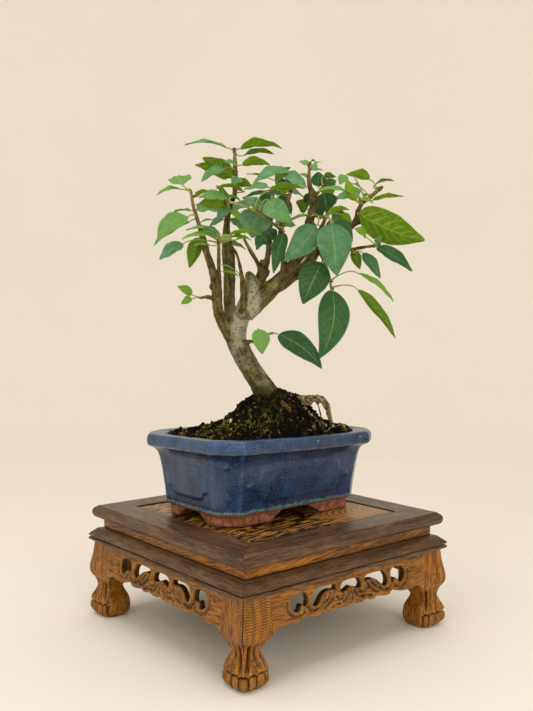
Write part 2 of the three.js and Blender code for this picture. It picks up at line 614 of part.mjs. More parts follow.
// Legs: rings [height above the floor, outer half, inner half, squareness, toe relief].
const LEG_RINGS = [
  [0, 122.6, 99.4, 4, 0.02],
  [3.5, 125.4, 97, 4, 0.05],
  [9.5, 126.6, 96, 4, 0.06],
  [13.4, 126, 96.6, 4, 0.03],
  [19, 125.8, 97.2, 4, 0.03],
  [29.5, 121.2, 102, 5, 0],
  [34.5, 122, 100.6, 6, 0],
  [40, 124.4, LEG_BLOCK_INNER, 16, 0],
  [47, 125.3, LEG_BLOCK_INNER, 30, 0],
  [55, 124.4, LEG_BLOCK_INNER, 30, 0],
  [STAND_HEIGHT - MOULDING_BOTTOM - GAP, 122.2, LEG_BLOCK_INNER, 30, 0],
];
const LEG_SIDES = 16;
const TOE_REACH = 4; // sides of the paw on either hand of its ridge that carry toes

// A leg is a rounded square in plan; its outer corner keeps a ridge all the way down and
// the paw swells and dips by turns into five toes.
function legGeometry() {
  const rings = LEG_RINGS.map(([height, outer, inner, squareness, toes]) => {
    const half = (outer - inner) / 2;
    const middle = (outer + inner) / 2;
    return Array.from({ length: LEG_SIDES }, (_, k) => {
      const angle = Math.PI * 1.25 + (k / LEG_SIDES) * Math.PI * 2;
      const x = Math.cos(angle);
      const y = Math.sin(angle);
      const rounding = k === 0 ? 12 : squareness;
      let reach = (Math.abs(x) ** rounding + Math.abs(y) ** rounding) ** (-1 / rounding);
      const fromRidge = Math.min(k, LEG_SIDES - k);
      if (fromRidge <= TOE_REACH) reach *= 1 + toes * (fromRidge % 2 === 0 ? 1 : -1);
      return new THREE.Vector3(half * reach * x - middle, half * reach * y - middle,
        height - STAND_HEIGHT);
    });
  });
  return loft(rings);
}

function buildStand() {
  const stand = new THREE.Group();
  stand.position.z = STAND_HEIGHT;
  SIDES.forEach((side, k) => {
    const turned = new THREE.Group();
    turned.rotation.z = (k * Math.PI) / 2;
    turned.add(
      named(`stand_rail_${side}`, mitredStrip(railProfile()), darkWood),
      named(`stand_waist_${side}`, mitredStrip(waistProfile()), figuredWood),
      named(`stand_moulding_${side}`, mitredStrip(mouldingProfile()), darkWood),
      named(`stand_apron_${side}`, apronGeometry(), midWood),
      named(`stand_leg_${side}`, legGeometry(), midWood),
    );
    stand.add(turned);
  });
  const panel = named('stand_panel', panelGeometry(), figuredWood);
  panel.position.z = -PANEL_RECESS - PANEL_THICK / 2;
  stand.add(panel);
  return stand;
}

// ---------------------------------------------------------------- pot

const blueGlaze = material('#2f4f86', 0.25);
const POT_BASE = STAND_HEIGHT - PANEL_RECESS + GAP;

// Points round a rectangle whose corners are cut off; each cut bows out a little.
function octagon(length, depth, cut, height, bow = 0) {
  const corners = [];
  const quadrants = [[1, 1], [-1, 1], [-1, -1], [1, -1]];
  for (const [sx, sy] of quadrants) {
    const alongX = [sx * length, sy * (depth - cut)];
    const alongY = [sx * (length - cut), sy * depth];
    const [first, last] = sx * sy > 0 ? [alongX, alongY] : [alongY, alongX];
    const out = (bow * cut) / 2;
    const middle = [(first[0] + last[0]) / 2 + sx * out, (first[1] + last[1]) / 2 + sy * out];
    corners.push(first, middle, last);
  }
  return corners.map(([x, y]) => new THREE.Vector3(x, y, height));
}

// Outer profile up from the foot: [height, how far from foot size (0) to rim size (1)].
const POT_PROFILE = [
  [FOOT_HEIGHT, -0.05], [FOOT_HEIGHT + 2, 0], [24.5, 0.06], [34.5, 0.14], [44.5, 0.23],
  [54.5, 0.34], [59.5, 0.44], [63.5, 0.6], [66, 0.84], [68, 0.96], [72, 1], [75.6, 0.98],
  [77.8, 0.9], [POT_HEIGHT, 0.72],
];

function blend(from, to, share) {
  const mix = (key) => THREE.MathUtils.lerp(from[key], to[key], share);
  return { length: mix('length'), depth: mix('depth'), cut: mix('cut') };
}

function innerWall(height) {
  const share = (height - FLOOR_TOP) / (INNER_RIM_HEIGHT - FLOOR_TOP);
  return blend(INNER_FLOOR, INNER_RIM, share);
}

function potBody() {
  const rings = POT_PROFILE.map(([height, share]) => {
    const size = blend(POT_FOOT, POT_RIM, share);
    return octagon(size.length, size.depth, size.cut, height, 0.16);
  });
  const inside = [
    [INNER_RIM, 1.4, POT_HEIGHT - 0.4], [INNER_RIM, 0, INNER_RIM_HEIGHT], [INNER_FLOOR, 0, FLOOR_TOP],
  ];
  for (const [size, wider, height] of inside) {
    rings.push(octagon(size.length + wider, size.depth + wider, size.cut, height));
  }
  return toSolid(loft(rings));
}

// The clay foot ring, parted into four corner feet by an arch along each axis.
function potFeet() {
  const inset = 3;
  const prism = (shrink, from, to) => toSolid(loft([from, to].map((height) => octagon(
    POT_FOOT.length - shrink, POT_FOOT.depth - shrink, POT_FOOT.cut, height))));
  const ring = prism(inset, 0, FOOT_HEIGHT + 1)
    .subtract(prism(inset + FOOT_WALL, -1, FOOT_HEIGHT + 2));
  return ring.subtract(footArch(LONG_ARCH, 0)).subtract(footArch(SHORT_ARCH, Math.PI / 2));
}

function footArch({ low, high }, turn) {
  const softCorner = 4;
  const half = [
    [low, -1], [low, 0], [high, FOOT_HEIGHT - 1.6], [high - softCorner, FOOT_HEIGHT],
  ];
  const mirrored = half.slice().reverse().map(([x, y]) => [-x, y]);
  const shape = new THREE.Shape([...half, ...mirrored].map(([x, y]) => new THREE.Vector2(x, y)));
  const through = 3 * POT_RIM.length;
  const geometry = new THREE.ExtrudeGeometry(shape, { depth: through, bevelEnabled: false });
  geometry.translate(0, 0, -through / 2);
  geometry.rotateX(Math.PI / 2);
  geometry.rotateZ(turn);
  return toSolid(geometry);
}

// Raised cartouche with stepped-in corners, laid on a leaning side wall. Each corner is two
// quarter curves with a step between them, drawn round anticlockwise.
function cartouche(halfWidth) {
  const { low, high, notch } = CARTOUCHE;
  const corner = [[2, 0], [1.2, 0.2], [1, 0.7], [0.5, 0.9], [0, 1]]; // shares of the notch
  const place = (sx, edge, up) => ([inward, rise]) => new THREE.Vector2(
    sx * (halfWidth - inward * notch), edge + up * rise * notch);
  const points = [
    ...corner.map(place(1, low, 1)),
    ...corner.slice().reverse().map(place(1, high, -1)),
    ...corner.map(place(-1, high, -1)),
    ...corner.slice().reverse().map(place(-1, low, 1)),
  ];
  return new THREE.ExtrudeGeometry(new THREE.Shape(points), {
    depth: CARTOUCHE_DEPTH, bevelEnabled: false,
  });
}

function potPanels() {
  const lean = THREE.MathUtils.degToRad(CARTOUCHE.lean);
  return [0, 1, 2, 3].map((quarter) => {
    const alongX = quarter % 2 === 0;
    const geometry = cartouche(alongX ? CARTOUCHE.long : CARTOUCHE.short);
    const wall = alongX ? POT_FOOT.depth : POT_FOOT.length;
    geometry.rotateX(Math.PI / 2 + lean);
    geometry.translate(0, CARTOUCHE_DEPTH - wall - CARTOUCHE.proud, FOOT_HEIGHT);
    geometry.rotateZ((quarter * Math.PI) / 2);
    return toSolid(geometry);
  });
}

function potGeometry() {
  const clay = wasm.Manifold.union([potBody(), potFeet(), ...potPanels()]);
  const drains = [-1, 1].map((side) => {
    const drain = new THREE.CylinderGeometry(DRAIN_RADIUS, DRAIN_RADIUS, 2 * POT_HEIGHT, 16);
    drain.rotateX(Math.PI / 2);
    drain.translate(side * DRAIN_OFFSET, 0, 0);
    return toSolid(drain);
  });
  return toGeometry(wasm.Manifold.difference([clay, ...drains]));
}

// Plastic mesh over a drainage hole: a thin square plate with four square windows.
function screenGeometry() {
  const window = (SCREEN_SIDE - 3 * SCREEN_BAR) / 2;
  const offset = (window + SCREEN_BAR) / 2;
  const plate = toSolid(new THREE.BoxGeometry(SCREEN_SIDE, SCREEN_SIDE, SCREEN_THICK));
  const windows = [[-1, -1], [-1, 1], [1, -1], [1, 1]].map(([sx, sy]) => toSolid(
    new THREE.BoxGeometry(window, window, 2 * SCREEN_THICK).translate(sx * offset, sy * offset, 0)));
  return toGeometry(wasm.Manifold.difference([plate, ...windows]));
}

// ---------------------------------------------------------------- tree's wood

const bark = material('#7d7a68', 0.8);

function stemSides(radius) {
  if (radius > 9) return 10;
  return radius > 6 ? 6 : 5;
}

// The trunk, its branches and roots grown into one solid, each stem widened by grow.
function woodSolid(grow) {
  const stems = [...Object.values(WOOD), ...Object.values(ROOTS)].map((points) => {
    const widest = Math.max(...points.map((point) => point[3]));
    return toSolid(stem(points, stemSides(widest), WOOD_STEP + widest, grow));
  });
  return wasm.Manifold.union(stems);
}

const wood = woodSolid(0);
const grownWood = woodSolid(GAP + 0.1);

// ---------------------------------------------------------------- soil

const SOIL_FLOOR = FLOOR_TOP + SCREEN_THICK + 2 * GAP;
const SOIL_EDGE = 74.5;
const SOIL_CLEARANCE = GAP + 0.05;
const SOIL_CUTS = { long: 4, short: 3 }; // pieces of the wall's straight runs
const MOUND_SHARES = [0.96, 0.76, 0.56, 0.38, 0.2]; // of the way from trunk to wall
const MOUND_LUMP = 3.2;

// Height of the mound over the pot's foot: flat by the wall, steep round the trunk.
function soilHeight(x, y) {
  const reach = Math.hypot(x + POT_CENTRE.x - TRUNK_FOOT.x, y + POT_CENTRE.y - TRUNK_FOOT.y);
  const skirt = 1 - THREE.MathUtils.smoothstep(reach, 36, 92);
  const ball = 1 - THREE.MathUtils.smoothstep(reach, 18, 58);
  return 77 + 7.5 * skirt + 28 * ball;
}

// The loop where the soil meets the pot's inner wall at a height.
function soilLoop(height) {
  const wall = innerWall(height);
  const corners = octagon(
    wall.length - SOIL_CLEARANCE, wall.depth - SOIL_CLEARANCE, wall.cut, height);
  return corners.flatMap((corner, k) => {
    const next = corners[(k + 1) % corners.length];
    const straight = [[wall.depth, SOIL_CUTS.long], [wall.depth / 2, SOIL_CUTS.short], [0, 1]];
    const [, cuts] = straight.find(([least]) => corner.distanceTo(next) > least);
    return Array.from({ length: cuts }, (_, c) => corner.clone().lerp(next, c / cuts));
  });
}

function soilBody() {
  const draw = seededDraw(7);
  const rim = soilLoop(SOIL_EDGE);
  const focus = TRUNK_FOOT.clone().sub(POT_CENTRE);
  const mound = MOUND_SHARES.map((share, level) => rim.map((point) => {
    const x = THREE.MathUtils.lerp(focus.x, point.x, share);
    const y = THREE.MathUtils.lerp(focus.y, point.y, share);
    const lump = level === 0 ? -MOUND_LUMP / 2 : (draw() - 0.5) * MOUND_LUMP;
    return new THREE.Vector3(x, y, soilHeight(x, y) + lump);
  }));
  return toSolid(loft([soilLoop(SOIL_FLOOR), rim, ...mound]));
}

function buildPot() {
  const pot = new THREE.Group();
  pot.position.set(POT_CENTRE.x, POT_CENTRE.y, POT_BASE);
  pot.add(named('pot', potGeometry(), blueGlaze));
  const plastic = material('#1d1f1e', 0.6);
  for (const [name, side] of [['left', -1], ['right', 1]]) {
    const screen = named(`drain_screen_${name}`, screenGeometry(), plastic);
    screen.position.set(side * DRAIN_OFFSET, 0, FLOOR_TOP + GAP + SCREEN_THICK / 2);
    pot.add(screen);
  }
  const toPot = new THREE.Matrix4()
    .makeTranslation(-POT_CENTRE.x, -POT_CENTRE.y, STAND_HEIGHT - POT_BASE)
    .multiply(new THREE.Matrix4().makeRotationZ(TREE_TURN));
  const roots = toSolid(toGeometry(grownWood).applyMatrix4(toPot));
  const soil = largestBody(soilBody().subtract(roots));
  pot.add(named('soil', toGeometry(soil), material('#2c2618', 0.95)));
  return pot;
}

// ---------------------------------------------------------------- leaves

function bezierPoint(from, control, to, t) {
  return from.clone().multiplyScalar((1 - t) ** 2)
    .addScaledVector(control, 2 * t * (1 - t))
    .addScaledVector(to, t * t);
}

// Half-width of a blade along its length: oval with a drawn-out point.
function bladeReach(t) {
  return Math.sin(Math.PI * t ** 0.82) ** 0.9 * (1 - 0.12 * t);
}

// How finely a leaf of this length is cut: steps along its rib, its edge and its stalk.
function leafSteps(length, stalk) {
  const bends = stalk > 16 ? 2 : 1;
  if (length > 36) return [4, 6, bends];
  if (length > 21) return [3, 5, bends];
  return length > 11 ? [2, 4, 1] : [1, 3, 1];
}

// A four-sided stalk from start up to the blade's base; the corners of each ring run upper,
// right, lower, left. Returns the ring that the blade begins with.
function leafStalk(leafSkin, start, base, axes, steps, radius) {
  const control = base.clone().addScaledVector(axes.along, -0.4 * start.distanceTo(base));
  const across = axes.across.clone();
  const normal = axes.normal.clone();
  let heading = axes.along;
  const rings = [];
  for (let k = 0; k <= steps; k += 1) {
    const t = 1 - k / steps;
    const ahead = bezierPoint(start, control, base, Math.min(1, t + 0.1));
    const behind = bezierPoint(start, control, base, Math.max(0, t - 0.1));
    const tangent = k === 0 ? axes.along : ahead.sub(behind).normalize();
    const turn = new THREE.Quaternion().setFromUnitVectors(heading, tangent);
    across.applyQuaternion(turn);
    normal.applyQuaternion(turn);
    heading = tangent;
    const centre = bezierPoint(start, control, base, t);
    rings.push([[0, 1], [1, 0], [0, -1], [-1, 0]].map(([a, n]) => leafSkin.vertex(
      centre.clone().addScaledVector(across, a * radius).addScaledVector(normal, n * radius))));
  }
  for (let k = 0; k < steps; k += 1) {
    const [near, far] = [rings[k], rings[k + 1]];
    for (let c = 0; c < 4; c += 1) {
      const d = (c + 1) % 4;
      leafSkin.faces.push(near[c], far[d], near[d], near[c], far[c], far[d]);
    }
  }
  const [e0, e1, e2, e3] = rings[steps];
  leafSkin.faces.push(e0, e2, e1, e0, e3, e2);
  return rings[0];
}

// One half of a blade between its rib and one edge, both given as pairs [upper, lower]. Both
// faces share one set of triangles, and a rim joins them along the edge.
function leafHalf(faces, rib, edge, side) {
  const push = (a, b, c) => faces.push(...(side > 0 ? [a, b, c] : [a, c, b]));
  const ribSteps = rib.length - 1;
  const edgeSteps = edge.length - 1;
  let r = 0;
  let e = 0;
  while (r < ribSteps || e < edgeSteps) {
    const edgeBehind = (e + 0.5) / edgeSteps < (r + 0.5) / ribSteps;
    const stepEdge = r === ribSteps || (e < edgeSteps && edgeBehind);
    const corner = stepEdge ? edge[e + 1] : rib[r + 1];
    if (corner !== rib[r] && corner !== edge[e]) {
      push(rib[r][0], edge[e][0], corner[0]);
      push(rib[r][1], corner[1], edge[e][1]);
    }
    if (stepEdge) e += 1;
    else r += 1;
  }
  for (let k = 0; k < edgeSteps; k += 1) {
    const [near, far] = [edge[k], edge[k + 1]];
    if (near[0] !== near[1]) push(near[0], near[1], far[1]);
    push(near[0], far[1], far[0]);
  }
}

// One leaf: a stalk from the shoot that opens into a thin blade, arched and folded along its
// rib, with a toothed and waved edge.
function leaf(shoot, base, tip, width, face, arch, phase) {
  const along = tip.clone().sub(base).normalize();
  const length = tip.distanceTo(base);
  const lean = THREE.MathUtils.degToRad(face);
  const upper = new THREE.Vector3(0, -Math.sin(lean), Math.cos(lean));
  const normal = upper.addScaledVector(along, -upper.dot(along)).normalize();
  const across = new THREE.Vector3().crossVectors(along, normal);
  const start = nearestOn(shoot, base);
  const [ribSteps, edgeSteps, stalkSteps] = leafSteps(length, start.distanceTo(base));

  const positions = [];
  const faces = [];
  const vertex = (point) => positions.push(...point.toArray()) / 3 - 1;
  const ring = leafStalk({ vertex, faces }, start, base, { along, across, normal }, stalkSteps,
    STALK_RADIUS + width * 0.012);

  const bladePair = (t, side, tooth) => {
    const reach = side * tooth * (width / 2) * bladeReach(t);
    const rise = arch * length * 4 * t * (1 - t) + Math.abs(reach) * BLADE_FOLD;
    const wave = side * Math.sin(t * 13 + phase + side) * width * BLADE_WAVE;
    const centre = base.clone().addScaledVector(along, length * t)
      .addScaledVector(across, reach)
      .addScaledVector(normal, rise + wave);
    return [1, -1].map((layer) => vertex(
      centre.clone().addScaledVector(normal, (layer * LEAF_THICK) / 2)));
  };
  const [upperStart, rightStart, lowerStart, leftStart] = ring;
  const rib = [[upperStart, lowerStart]];
  for (let k = 1; k <= ribSteps; k += 1) rib.push(bladePair(k / ribSteps, 0, 1));
  for (const [side, first] of [[1, rightStart], [-1, leftStart]]) {
    const edge = [[first, first]];
    for (let k = 1; k < edgeSteps; k += 1) {
      edge.push(bladePair(k / edgeSteps, side, k % 2 === 0 ? 0.94 : 1.02));
    }
    edge.push(rib[ribSteps]);
    leafHalf(faces, rib, edge, side);
  }
  return skin(positions, faces);
}

// The point of a shoot's middle line that lies nearest to target.
function nearestOn(shoot, target) {
  const points = shoot.map(([u, w, h]) => new THREE.Vector3(u, w, h));
  let best = points[0];
  for (let k = 0; k + 1 < points.length; k += 1) {
    const line = new THREE.Line3(points[k], points[k + 1]);
    const near = line.closestPointToPoint(target, true, new THREE.Vector3());
    if (near.distanceTo(target) < best.distanceTo(target)) best = near;
  }
  return best;
}

function spraySolid(spray) {
  const pieces = [toSolid(stem(spray.shoot, 4, SHOOT_STEP))];
  spray.leaves.forEach(([bu, bw, bh, tu, tw, th, width, face, arch], k) => {
    const base = new THREE.Vector3(bu, bw, bh);
    const tip = new THREE.Vector3(tu, tw, th);
    pieces.push(toSolid(leaf(spray.shoot, base, tip, width, face, arch, k * 2.1)));
  });
  return largestBody(wasm.Manifold.union(pieces).subtract(grownWood));
}

function buildTree() {
  const tree = new THREE.Group();
  tree.rotation.z = TREE_TURN;
  tree.position.z = STAND_HEIGHT;
  tree.add(named('tree', toGeometry(wood), bark));
  const leafGreen = material('#4f8a4a', 0.5);
  for (const [name, spray] of Object.entries(SPRAYS)) {
    tree.add(named(`spray_${name}`, toGeometry(spraySolid(spray)), leafGreen));
  }
  return tree;
}

const group = new THREE.Group();
group.add(buildStand(), buildPot(), buildTree());
export default group;
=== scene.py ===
# Crabapple bonsai in a blue glazed pot on its carved stand: how it looks.
# Lengths are millimetres up to the moment a mesh is made; the frame is in metres, +Z up,
# with its origin on the floor under the middle of the stand.
import math
from functools import partial

import bmesh
import bpy
import numpy as np
from mathutils import Euler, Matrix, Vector
from mathutils.geometry import delaunay_2d_cdt


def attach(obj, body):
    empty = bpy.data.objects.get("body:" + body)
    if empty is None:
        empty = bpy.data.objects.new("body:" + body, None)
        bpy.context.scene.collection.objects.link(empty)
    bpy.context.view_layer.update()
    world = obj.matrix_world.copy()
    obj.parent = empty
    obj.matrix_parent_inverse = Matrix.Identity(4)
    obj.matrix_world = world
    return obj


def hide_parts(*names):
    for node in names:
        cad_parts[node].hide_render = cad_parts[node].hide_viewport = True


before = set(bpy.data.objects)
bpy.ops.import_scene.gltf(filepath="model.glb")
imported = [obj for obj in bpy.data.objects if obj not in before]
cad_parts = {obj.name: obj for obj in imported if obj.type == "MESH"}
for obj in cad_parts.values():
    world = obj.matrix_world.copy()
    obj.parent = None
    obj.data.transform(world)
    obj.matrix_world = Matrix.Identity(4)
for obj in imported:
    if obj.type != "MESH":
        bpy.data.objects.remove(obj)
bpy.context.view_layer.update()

# ---------------------------------------------------------------- stand: frame and mouldings
# Four rails with a bullnose edge hold the top panel, four thin strips make the waist under
# them, and four mouldings with a slope and two beads carry both. All are dark hardwood,
# planed to one section, mitred at the corners and glued.
MM = 0.001
SIDES = ["front", "right", "back", "left"]
STAND_HEIGHT = 111
TOP_HALF = 121.5
PANEL_HALF = 91.9
PANEL_DEPTH = 6.8  # underside of the panel, down from the top of the rails
RAIL_THICK = 13
WAIST_HALF = 116.4
WAIST_BOTTOM = 22.6
MOULDING_HALF = 128.1
MOULDING_BOTTOM = 36
GLUE_GAP = 0.3
STRIP_ROWS = 49  # sections along each strip


def linear(code):
    """An sRGB hex colour as linear red, green, blue and alpha."""
    channels = [int(code[k:k + 2], 16) / 255 for k in (1, 3, 5)]
    return [c / 12.92 if c <= 0.04045 else ((c + 0.055) / 1.055) ** 2.4 for c in channels] + [1.0]


def add_node(tree, kind, inputs=None, stops=(), **settings):
    """Adds a node with its settings and its links. An input takes a value, a hex colour, a socket,
    or a node, which stands for its first output in use."""
    node = tree.nodes.new(kind if "Node" in kind else "ShaderNode" + kind)
    if kind == "Mix":
        settings.setdefault("data_type", "RGBA")
    for name, value in settings.items():
        setattr(node, name, value)
    for place, (position, value) in enumerate(stops):
        ramp = node.color_ramp.elements
        stop = ramp[place] if place < 2 else ramp.new(position)
        stop.position = position
        stop.color = linear(value) if isinstance(value, str) else [value, value, value, 1]
    for name, value in (inputs or {}).items():
        if isinstance(value, str):
            value = linear(value)
        if isinstance(value, bpy.types.Node):
            value = next(socket for socket in value.outputs if socket.enabled)
        if isinstance(value, bpy.types.NodeSocket):
            tree.links.new(value, node.inputs[name])
        else:
            node.inputs[name].default_value = value
    return node


def new_finish(name):
    """An empty node material, and the function that adds nodes to it."""
    material = bpy.data.materials.new(name)
    material.use_nodes = True
    material.node_tree.nodes.clear()
    return material, partial(add_node, material.node_tree)


def lumps(points, size, seed=0):
    """Smooth noise from -1 to 1 at points in millimetres, with lumps of that size."""
    draw = np.random.default_rng(seed)
    lattice = draw.uniform(-1, 1, (32, 32, 32))
    place = np.asarray(points, float) / size + draw.uniform(0, 32, 3)
    cell = np.floor(place).astype(int)
    share = place - cell
    share = share * share * (3 - 2 * share)
    total = np.zeros(len(place))
    for corner in np.ndindex(2, 2, 2):
        weight = np.prod(np.where(corner, share, 1 - share), axis=1)
        x, y, z = ((cell + corner) % 32).T
        total += weight * lattice[x, y, z]
    return total


def set_attribute(mesh, name, values):
    """Stores one number or one vector per point."""
    values = np.asarray(values, np.float32)
    kind, key = ("FLOAT", "value") if values.ndim == 1 else ("FLOAT_VECTOR", "vector")
    mesh.attributes.new(name, kind, "POINT").data.foreach_set(key, values.ravel())


def mesh_points(mesh):
    """A mesh's points, in millimetres."""
    flat = np.zeros(len(mesh.vertices) * 3, np.float32)
    mesh.vertices.foreach_get("co", flat)
    return flat.reshape(-1, 3).astype(float) / MM


def move_points(mesh, points):
    """Puts a mesh's points at new places, given in millimetres."""
    mesh.vertices.foreach_set("co", (points * MM).ravel().astype(np.float32))
    mesh.update()


def face_outwards(mesh):
    """Turns a closed mesh's faces outwards."""
    shape = bmesh.new()
    shape.from_mesh(mesh)
    bmesh.ops.recalc_face_normals(shape, faces=shape.faces)
    shape.to_mesh(mesh)
    shape.free()


def store_form(mesh, rounds=2):
    """Stores how far each point stands out from (above 0) or lies in (below 0) its surroundings."""
    face_outwards(mesh)
    points = mesh_points(mesh)
    edges = np.zeros(len(mesh.edges) * 2, np.int32)
    mesh.edges.foreach_get("vertices", edges)
    a, b = edges.reshape(-1, 2).T
    normals = np.zeros(len(points) * 3, np.float32)
    mesh.vertices.foreach_get("normal", normals)
    normals = normals.reshape(-1, 3)
    count = np.bincount(a, minlength=len(points)) + np.bincount(b, minlength=len(points))
    count = np.maximum(count, 1)

    def around(values):
        total = np.zeros_like(values)
        np.add.at(total, a, values[b])
        np.add.at(total, b, values[a])
        return total / (count[:, None] if values.ndim > 1 else count)

    spread = around(points) - points
    length = np.zeros(len(points))
    span = np.linalg.norm(points[a] - points[b], axis=1)
    np.add.at(length, a, span)
    np.add.at(length, b, span)
    form = -(spread * normals).sum(1) / np.maximum(length / count, 1e-6)
    for _ in range(rounds):
        form = 0.4 * form + 0.6 * around(form)
    set_attribute(mesh, "form", form)


def shown(name, data):
    """A new object in the scene, made of this data."""
    made = bpy.data.objects.new(name, data)
    bpy.context.scene.collection.objects.link(made)
    return made


def piece(name, mesh, finish, slot, *nodes, sharp=38):
    """A finished piece at the origin that stands for its nodes and rides with the object."""
    face_outwards(mesh)
    mesh.shade_smooth()
    mesh.set_sharp_from_angle(angle=math.radians(sharp))
    mesh.materials.clear()
    mesh.materials.append(finish)
    made = shown(name, mesh)
    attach(made, "root")
    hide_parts(*nodes)
    return made


def mesh_of(name, points, faces):
    """A mesh from points in millimetres."""
    mesh = bpy.data.meshes.new(name)
    mesh.from_pydata((np.asarray(points, float) * MM).tolist(), [], [list(face) for face in faces])
    mesh.update()
    return mesh


def ring_faces(rows, count):
    """Quads between rows of count points each, joined round into rings."""
    row, k = np.divmod(np.arange((rows - 1) * count), count)
    a = row * count + k
    b = row * count + (k + 1) % count
    return np.stack([a, b, b + count, a + count], axis=1)


def capped_rings(rows, count):
    """The faces of a closed body: rings of count points each, and a cap on either end."""
    last = (rows - 1) * count
    return ring_faces(rows, count).tolist() + [list(range(count)), list(range(last, last + count))]


def turned(points, quarter):
    """Points turned about the upright axis by quarters of a circle."""
    cos, sin = [(1, 0), (0, 1), (-1, 0), (0, -1)][quarter]
    x, y, z = points.T
    return np.stack([cos * x - sin * y, sin * x + cos * y, z], axis=1)


def hardwood(name, pale, dark, streak, band_mm, pore_mm, pore_dark, rough, wave_mm=0.0, figured=False,
             pore_edge=0.51):
    """Oiled hardwood: broad bands and fine open pores drawn out along the grain, edges worn pale and nicked
    with a painted highlight along them, hollows stained dark with painted shade in creases and joints; a
    figured one has ripples across the grain on flat faces."""
    material, add = new_finish(name)
    grain = add("Attribute", attribute_name="grain").outputs["Vector"]
    swirl = add("TexNoise", {"Vector": grain, "Scale": 1 / 22, "Detail": 1})
    swirl = add("VectorMath", {0: swirl.outputs["Color"], 1: (0.5, 0.5, 0.5)}, operation="SUBTRACT")
    swirl = add("VectorMath", {0: swirl, "Scale": 3 + wave_mm}, operation="SCALE")
    place = add("VectorMath", {0: grain, 1: swirl}, operation="ADD")
    broad = add("Mapping", {"Vector": place, "Scale": (1 / 60, 1 / band_mm, 1 / band_mm)})
    broad = add("TexNoise", {"Vector": broad, "Scale": 1, "Detail": 3, "Roughness": 0.6})
    fine = add("Mapping", {"Vector": place, "Scale": (1 / 14, 1 / pore_mm, 1 / pore_mm)})
    fine = add("TexNoise", {"Vector": fine, "Scale": 1, "Detail": 4, "Roughness": 0.65})
    tone = add("ValToRGB", {"Fac": broad}, stops=[(0.36, dark), (0.66, pale)])
    if figured:
        ripple = add("TexWave", {"Vector": place, "Scale": 0.314 / 2.1, "Distortion": 3.6, "Detail": 1,
                                 "Detail Scale": 1.1}, bands_direction="X")
        gap = add("TexNoise", {"Vector": grain, "Scale": 1 / 8, "Detail": 3, "Roughness": 0.6})
        ripple = add("Math", {0: ripple, 1: gap}, operation="ADD")
        ripple = add("MapRange", {"Value": ripple, "From Min": 0.9, "From Max": 0.62, "To Max": 0.8})
        flat = add("Attribute", attribute_name="flat_face").outputs["Fac"]
        ripple = add("Math", {0: ripple, 1: flat}, operation="MULTIPLY")
        tone = add("Mix", {"Factor": ripple, "A": tone, "B": streak})
        pore_dark = add("MapRange", {"Value": flat, "To Min": pore_dark, "To Max": 0.2})
    pores = add("MapRange", {"Value": fine, "From Min": pore_edge, "From Max": pore_edge - 0.07,
                             "To Max": pore_dark})
    colour = add("Mix", {"Factor": pores, "A": tone, "B": streak})
    form = add("Attribute", attribute_name="form").outputs["Fac"]
    # Convex edges go pale: worn wood, and a painted highlight along them.
    rubbed_and_painted_highlight = add("MapRange", {"Value": form, "From Min": 0.04, "From Max": 0.24, "To Max": 0.5})
    colour = add("Mix", {"Factor": rubbed_and_painted_highlight, "A": colour, "B": "#a27a40"})
    nicks = add("TexNoise", {"Vector": grain, "Scale": 1 / 1.7, "Detail": 2, "Roughness": 0.7})
    edge = add("Math", {0: form, 1: 0.25, 2: nicks}, operation="MULTIPLY_ADD")
    nicks = add("MapRange", {"Value": edge, "From Min": 0.7, "From Max": 0.78, "To Max": 0.75})
    colour = add("Mix", {"Factor": nicks, "A": colour, "B": "#c3a882"})
    # Hollows go near black: stain gathered there, and painted shade in creases, joints and gaps.
    stain_and_painted_shade = add("MapRange", {"Value": form, "From Min": -0.02, "From Max": -0.16, "To Max": 0.95})
    colour = add("Mix", {"Factor": stain_and_painted_shade, "A": colour, "B": "#130a03"})
    gloss = add("MapRange", {"Value": fine, "From Min": 0.3, "From Max": 0.7, "To Min": rough + 0.12,
                             "To Max": rough - 0.06})
    relief = add("Bump", {"Height": fine, "Strength": 0.35, "Distance": 0.25 * MM})
    shader = add("BsdfPrincipled", {"Base Color": colour, "Roughness": gloss, "Specular IOR Level": 0.35,
                                    "Normal": relief})
    add("OutputMaterial", {"Surface": shader})
    return material


dark_wood = hardwood("oiled_dark_hardwood", "#7a5836", "#452d18", "#180e06", 6, 0.8, 0.72, 0.34)
streaked_wood = hardwood("oiled_streaked_hardwood", "#b8720a", "#5e3604", "#1a0c00", 2.4, 0.75, 0.85, 0.36,
                         pore_edge=0.5)


def arc(centre, reach, height, start, end, steps):
    """Points [out, drop] on part of an ellipse; angles in degrees, 90 is up."""
    angles = np.radians(np.linspace(start, end, steps))
    return [[centre[0] + math.cos(a) * reach, centre[1] - math.sin(a) * height] for a in angles]


